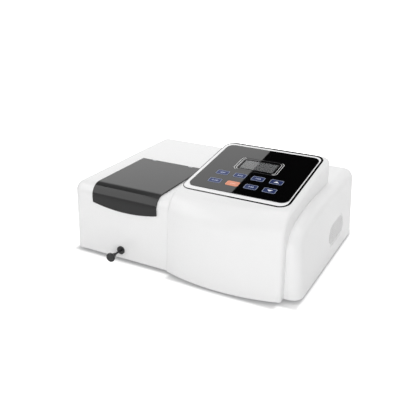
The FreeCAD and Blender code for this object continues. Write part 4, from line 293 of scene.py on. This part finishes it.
def chamfered_loop(width, length, cut):
    x = width / 2.0
    y = length / 2.0
    right = [(x, -y + cut), (x, y - cut), (x - cut, y)]
    left = [(-x + cut, y), (-x, y - cut), (-x, -y + cut)]
    return right + left + [(-x + cut, -y), (x - cut, -y)]


def moved(loop, middle):
    return [(x + middle[0], y + middle[1]) for x, y in loop]


def panel_point(u, v, w):
    return PANEL @ (Vector((u, v, w)) * MM)


def finished(name, verts, faces, mat, body, place, bevel=0.0):
    """A piece from its mesh, set in its place, riding on a body. The bevel softens its edges."""
    mesh = bpy.data.meshes.new(name)
    mesh.from_pydata([tuple(v) for v in verts], [], faces)
    mesh.update()
    obj = linked(name, mesh)
    paint(obj, mat)
    if bevel:
        soften = obj.modifiers.new("soften", "BEVEL")
        soften.width = bevel
        soften.segments = 2
        soften.limit_method = "ANGLE"
    obj.data.transform(place)
    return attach(obj, body)


def ring(name, outer, inner, layer, mat, body, bevel=0.0):
    """A flat ring on the panel between two loops with the same number of points."""
    count = len(outer)
    low, high = layer
    verts = []
    for loop, w in ((outer, low), (inner, low), (outer, high), (inner, high)):
        verts.extend(Vector((u, v, w)) * MM for u, v in loop)
    faces = []
    for i in range(count):
        j = (i + 1) % count
        faces.append((i, j, 2 * count + j, 2 * count + i))
        faces.append((count + j, count + i, 3 * count + i, 3 * count + j))
        faces.append((2 * count + i, 2 * count + j, 3 * count + j, 3 * count + i))
        faces.append((j, i, count + i, count + j))
    return finished(name, verts, faces, mat, body, PANEL, bevel)


def plate(name, loop, layer, mat, body, place=PANEL):
    """A flat plate inside a loop."""
    count = len(loop)
    verts = [Vector((u, v, w)) * MM for w in layer for u, v in loop]
    faces = [tuple(reversed(range(count))), tuple(range(count, 2 * count))]
    for i in range(count):
        j = (i + 1) % count
        faces.append((i, j, count + j, count + i))
    return finished(name, verts, faces, mat, body, place)


def number(name, text, middle, mat, body):
    """A plain number as a thin raised print."""
    curve = bpy.data.curves.new(name + "_line", "FONT")
    curve.body = text
    curve.align_x = "CENTER"
    curve.align_y = "CENTER"
    curve.size = MARK_SIZE * MM
    curve.extrude = MARK_THICK * MM
    curve.resolution_u = 3
    source = linked(name + "_line", curve)
    bpy.context.view_layer.update()
    mesh = bpy.data.meshes.new_from_object(source.evaluated_get(bpy.context.evaluated_depsgraph_get()))
    bpy.data.objects.remove(source)
    mesh.name = name
    obj = linked(name, mesh)
    obj.data.transform(Matrix.Diagonal((MARK_WIDE, 1.0, 1.0, 1.0)))
    obj.data.transform(PANEL @ Matrix.Translation(Vector((*middle, MARK_MIDDLE)) * MM))
    paint(obj, mat)
    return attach(obj, body)


def arrow(name, middle, way, body):
    """A wide triangle that points up for a way of one and down for minus one."""
    u, v = middle
    loop = [(u + x, v + way * y) for x, y in ARROW]
    if way < 0:
        loop.reverse()
    return plate(name, loop, ARROW_LAYER, MARK_WHITE, body)


def dress_keys():
    places = [(u, v) for v in KEY_ROWS for u in KEY_COLUMNS]
    for index, middle in enumerate(places, 1):
        body = "button_%d" % index
        warm = index == ORANGE_KEY
        outer = moved(rounded_loop(*RIM_OUTER), middle)
        inner = moved(rounded_loop(*RIM_INNER), middle)
        rim = RIM_ORANGE if warm else RIM_BLUE
        ring("key_rim_%d" % index, outer, inner, RIM_LAYER, rim, body, RIM_SOFT)
        if index in ARROW_WAYS:
            arrow("key_arrow_%d" % index, middle, ARROW_WAYS[index], body)
        else:
            mark = MARK_WARM if warm else MARK_LIGHT
            number("key_number_%d" % index, KEY_MARKS[index], middle, mark, body)


def around_display(outline):
    return moved(chamfered_loop(*outline), DISPLAY_MIDDLE)


def bracket_loop(side, gap):
    """A thin bracket that follows one side of the display, moved inwards by the gap."""
    x = side * (BRACKET_HALF[0] - gap)
    y = BRACKET_HALF[1] - gap * BRACKET_ENDS
    cut = BRACKET_CUT - gap * BRACKET_CUTS
    slant = cut + BRACKET_WIDE * BRACKET_MITRE
    inner_x = x - side * BRACKET_WIDE
    line = [(x - side * cut, y), (x, y - cut), (x, -y + cut), (x - side * cut, -y)]
    back = [(x - side * slant, -y + BRACKET_WIDE), (inner_x, -y + slant), (inner_x, y - slant),
            (x - side * slant, y - BRACKET_WIDE)]
    loop = line + back
    if side > 0:
        loop.reverse()
    return moved(loop, DISPLAY_MIDDLE)


def dress_display():
    inner = around_display(MASK_INNER)
    black = MATERIALS["black_gloss"]
    ring("display_mask", around_display(MASK_OUTER), inner, MASK_LAYER, black, "housing")
    # The ring round the screen's opening is painted shade, for the shadow lines at its inner edges
    ring("display_edge_painted_shade", around_display(EDGE_OUTER), inner, EDGE_LAYER, EDGE_PAINTED_SHADE, "housing")
    plate("lcd_screen", around_display(SCREEN_OUTER), SCREEN_LAYER, lcd_material(), "housing")
    # The trim ring is a painted dim glint all round, and the brackets on the left and right are painted
    # bright glints of the bevel
    outer = around_display(TRIM_OUTER)
    inner = around_display(TRIM_INNER)
    ring("display_trim_painted_glint", outer, inner, TRIM_LAYER, TRIM_PAINTED_DIM_GLINT, "housing", TRIM_SOFT)
    for side, word in ((-1, "left"), (1, "right")):
        for index, gap in enumerate(BRACKET_GAPS, 1):
            base = OVERLAY_TOP if index == 1 else WINDOW_TOP
            layer = (base - BRACKET_SUNK, base + BRACKET_PROUD)
            name = "display_bracket_%s_%d" % (word, index)
            plate(name, bracket_loop(side, gap), layer, TRIM_PAINTED_GLINT, "housing")


# Small fittings at the rear

# The rear panel's own axes: x to the right as seen from the front, up, and out of the panel
UPRIGHT = Matrix.Rotation(math.radians(90.0), 4, "X")
MIRRORED = Matrix.Diagonal((1.0, 1.0, -1.0, 1.0))
REAR = Matrix.Translation((0, REAR_Y, 0)) @ UPRIGHT @ MIRRORED
PANEL_SCREWS = ((-199.0, 17.5), (54.0, 17.5), (-199.0, 101.5), (54.0, 101.5))
SCREW_RADIUS = 3.0
SCREW_HIGH = 1.5
SCREW_STEPS = 24


def screw_head(name, middle):
    """A pan head screw on the rear panel, its cross recess drawn as a thin dark plate of painted shade."""
    steps = SCREW_STEPS
    radius = SCREW_RADIUS
    high = SCREW_HIGH
    rims = [(radius, -0.1), (radius, 0.35 * high), (radius * 0.86, 0.8 * high), (radius * 0.62, high),
            (radius * 0.6, high)]
    verts = []
    for r, w in rims:
        for i in range(steps):
            angle = 2.0 * math.pi * i / steps
            verts.append((middle[0] + r * math.cos(angle), middle[1] + r * math.sin(angle), w))
    faces = []
    for k in range(len(rims) - 1):
        for i in range(steps):
            j = (i + 1) % steps
            faces.append((k * steps + i, (k + 1) * steps + i, (k + 1) * steps + j, k * steps + j))
    faces.append(tuple((len(rims) - 1) * steps + i for i in reversed(range(steps))))
    verts = [Vector(v) * MM for v in verts]
    finished(name, verts, faces, MATERIALS["bright_steel"], "housing", REAR)
    arm = radius * 0.45
    thin = radius * 0.12
    cross = [(arm, -thin), (arm, thin), (thin, thin), (thin, arm), (-thin, arm), (-thin, thin), (-arm, thin),
             (-arm, -thin), (-thin, -thin), (-thin, -arm), (thin, -arm), (thin, -thin)]
    # Painted shade: the cross recess is not cut but laid on the head as a thin dark plate
    recess = [(middle[0] + x, middle[1] + y) for x, y in cross]
    plate(name + "_recess_painted_shade", recess, (high - 0.05, high + 0.02), MATERIALS["motor_case"], "housing", REAR)


def dress_rear():
    for index, middle in enumerate(PANEL_SCREWS, 1):
        screw_head("rear_screw_%d" % index, middle)


dress_keys()
dress_display()
dress_rear()


# Stage, light and camera

FOCAL_PIXELS = 579.1
FRAME_PIXELS = 416.0
SENSOR = 36.0
CAMERA_AT = Vector((0.4905, FRONT_Y - 0.7867, 0.5487))
CAMERA_TO = Vector((-0.0198, FRONT_Y + 0.163, 0.0697))

# Level rectangles under the shell and the console: middle and half sizes
SHELL_FOOT = ((0.0, (FRONT_Y + REAR_Y) / 2.0, 0.0), (0.233, 0.168, 0.0))
CONSOLE_FOOT = ((0.0935, FRONT_Y + 0.05, 0.0), (0.104, 0.064, 0.0))
FLOOR_REACH = 8.0
# The floor's glow rises with distance from these rectangles, from the base near the part to one more far
# away: painted shade around the part
GLOW_FALL = 0.012
GLOW_BASE = 0.14
GLOW_MIRRORED = 0.2
WORLD_SOFT = 0.6
WORLD_WHITE = 1.0

# Lamps: place, aim, size and power
LAMPS = {
    "top_light": ((0.1, 0.95, 2.2), (0.0, 0.0, 0.1), 1.8, 23.0),
    "front_light": ((0.5, -2.2, 0.3), (0.0, 0.0, 0.08), 1.2, 17.5),
}

# Cards far above the panel, in millimetres of its axes: reach across, reach up the slope, strength
PANEL_CARDS = {
    "dark_card": ((-1122.0, 2400.0), (1200.0, 4600.0), 0.01),
    "rear_card": ((-5000.0, -1122.0), (1400.0, 7000.0), 1.22),
}
PANEL_CARD_HIGH = 1500.0

# Level cards above the part: reach in x, reach in y, strength
LEVEL_CARDS = {
    "dark_strip": ((-2.4, -0.95), (-0.25, 1.4), 0.5),
    "front_card": ((-2.6, -0.95), (-1.9, -0.25), 2.4),
}
LEVEL_CARD_HIGH = 1.6

# The upright card below the front card: reach in x, place in y, reach in z, strength
LOW_CARD = ((-2.6, -0.95), -1.9, (0.5, LEVEL_CARD_HIGH), 2.4)


def looking(at, to):
    return (to - at).to_track_quat("-Z", "Y").to_euler()


def calculated(tree, operation, *values):
    """The result of one operation on numbers and sockets."""
    made = tree.nodes.new("ShaderNodeMath")
    made.operation = operation
    for socket, value in zip(made.inputs, values):
        if isinstance(value, float):
            socket.default_value = value
        else:
            tree.links.new(value, socket)
    return made.outputs[0]


def seen(tree, indirect=1.0):
    """One for what the camera sees, another share for reflections and refractions, and nothing for light."""
    rays = tree.nodes.new("ShaderNodeLightPath").outputs
    mirrored = calculated(tree, "MAXIMUM", rays["Is Glossy Ray"], rays["Is Transmission Ray"])
    share = calculated(tree, "MULTIPLY", mirrored, indirect)
    return calculated(tree, "MAXIMUM", rays["Is Camera Ray"], share)


def background():
    """White where something looks past the part, and plain soft light elsewhere."""
    world = bpy.data.worlds.new("studio")
    bpy.context.scene.world = world
    world.use_nodes = True
    tree = world.node_tree
    tree.nodes.clear()
    soft = node(tree, "ShaderNodeBackground", Color=(1.0, 1.0, 1.0, 1.0), Strength=WORLD_SOFT)
    white = node(tree, "ShaderNodeBackground", Color=(1.0, 1.0, 1.0, 1.0), Strength=WORLD_WHITE)
    mix = tree.nodes.new("ShaderNodeMixShader")
    out = tree.nodes.new("ShaderNodeOutputWorld")
    tree.links.new(seen(tree), mix.inputs[0])
    tree.links.new(soft.outputs[0], mix.inputs[1])
    tree.links.new(white.outputs[0], mix.inputs[2])
    tree.links.new(mix.outputs[0], out.inputs["Surface"])


def away_from(tree, middle, half):
    """The distance of a point on the floor from a level rectangle."""
    away = tree.nodes.new("ShaderNodeTexCoord").outputs["Object"]
    steps = (
        ("SUBTRACT", middle),
        ("ABSOLUTE", None),
        ("SUBTRACT", half),
        ("MAXIMUM", (0.0, 0.0, 0.0)),
        ("LENGTH", None),
    )
    for operation, values in steps:
        step = tree.nodes.new("ShaderNodeVectorMath")
        step.operation = operation
        tree.links.new(away, step.inputs[0])
        if values:
            step.inputs[1].default_value = values
        away = step.outputs["Value" if operation == "LENGTH" else "Vector"]
    return away


def bare_material(name):
    """A new material, its empty node tree and its output."""
    mat = bpy.data.materials.new(name)
    mat.use_nodes = True
    tree = mat.node_tree
    tree.nodes.clear()
    return mat, tree, tree.nodes.new("ShaderNodeOutputMaterial")


def sheet(name, corners, mat):
    mesh = bpy.data.meshes.new(name)
    mesh.from_pydata([tuple(c) for c in corners], [], [(0, 1, 2, 3)])
    obj = linked(name, mesh)
    paint(obj, mat)
    return obj


def floor():
    """A pale floor whose glow is painted weaker near the part and stronger away from it: painted shade
    around the part, where its shadow shows, and white further out.
    """
    mat, tree, out = bare_material("floor")
    away = calculated(tree, "MINIMUM", away_from(tree, *SHELL_FOOT), away_from(tree, *CONSOLE_FOOT))
    rise = calculated(tree, "DIVIDE", away, calculated(tree, "ADD", away, GLOW_FALL))
    level = calculated(tree, "MULTIPLY", calculated(tree, "ADD", rise, GLOW_BASE), seen(tree, GLOW_MIRRORED))
    pale = node(tree, "ShaderNodeBsdfDiffuse", Color=(0.9, 0.9, 0.9, 1.0))
    glow = node(tree, "ShaderNodeEmission", Color=(1.0, 1.0, 1.0, 1.0))
    tree.links.new(level, glow.inputs["Strength"])
    both = tree.nodes.new("ShaderNodeAddShader")
    tree.links.new(pale.outputs[0], both.inputs[0])
    tree.links.new(glow.outputs[0], both.inputs[1])
    tree.links.new(both.outputs[0], out.inputs["Surface"])
    reach = FLOOR_REACH
    corners = [(-reach, -reach, 0.0), (reach, -reach, 0.0), (reach, reach, 0.0), (-reach, reach, 0.0)]
    sheet("floor", corners, mat)


def card(name, corners, strength):
    """A sheet of studio card that only reflections see."""
    mat, tree, out = bare_material(name)
    glow = node(tree, "ShaderNodeEmission", Color=(1.0, 1.0, 1.0, 1.0), Strength=strength)
    tree.links.new(glow.outputs[0], out.inputs["Surface"])
    obj = sheet(name, corners, mat)
    obj.visible_camera = False
    obj.visible_diffuse = False
    obj.visible_shadow = False
    obj.visible_transmission = False


def lamp(name, at, to, size, power):
    light = bpy.data.lights.new(name, "AREA")
    light.shape = "DISK"
    light.size = size
    light.energy = power
    obj = linked(name, light)
    obj.location = at
    obj.rotation_euler = looking(Vector(at), Vector(to))
    obj.visible_glossy = False
    obj.visible_camera = False


def square(x, y):
    return [(x[0], y[0]), (x[1], y[0]), (x[1], y[1]), (x[0], y[1])]


def stage():
    background()
    floor()
    for name, (at, to, size, power) in LAMPS.items():
        lamp(name, at, to, size, power)
    for name, (across, up, strength) in PANEL_CARDS.items():
        card(name, [panel_point(u, v, PANEL_CARD_HIGH) for u, v in square(across, up)], strength)
    for name, (across, deep, strength) in LEVEL_CARDS.items():
        card(name, [(x, y, LEVEL_CARD_HIGH) for x, y in square(across, deep)], strength)
    across, y, high, strength = LOW_CARD
    card("front_card_low", [(x, y, z) for x, z in square(across, high)], strength)


def camera():
    lens = bpy.data.cameras.new("camera")
    lens.sensor_width = SENSOR
    lens.lens = FOCAL_PIXELS / FRAME_PIXELS * SENSOR
    lens.clip_end = 50.0
    obj = linked("camera", lens)
    obj.location = CAMERA_AT
    obj.rotation_euler = looking(CAMERA_AT, CAMERA_TO)
    bpy.context.scene.camera = obj


stage()
camera()
bpy.context.scene.view_settings.view_transform = "Standard"
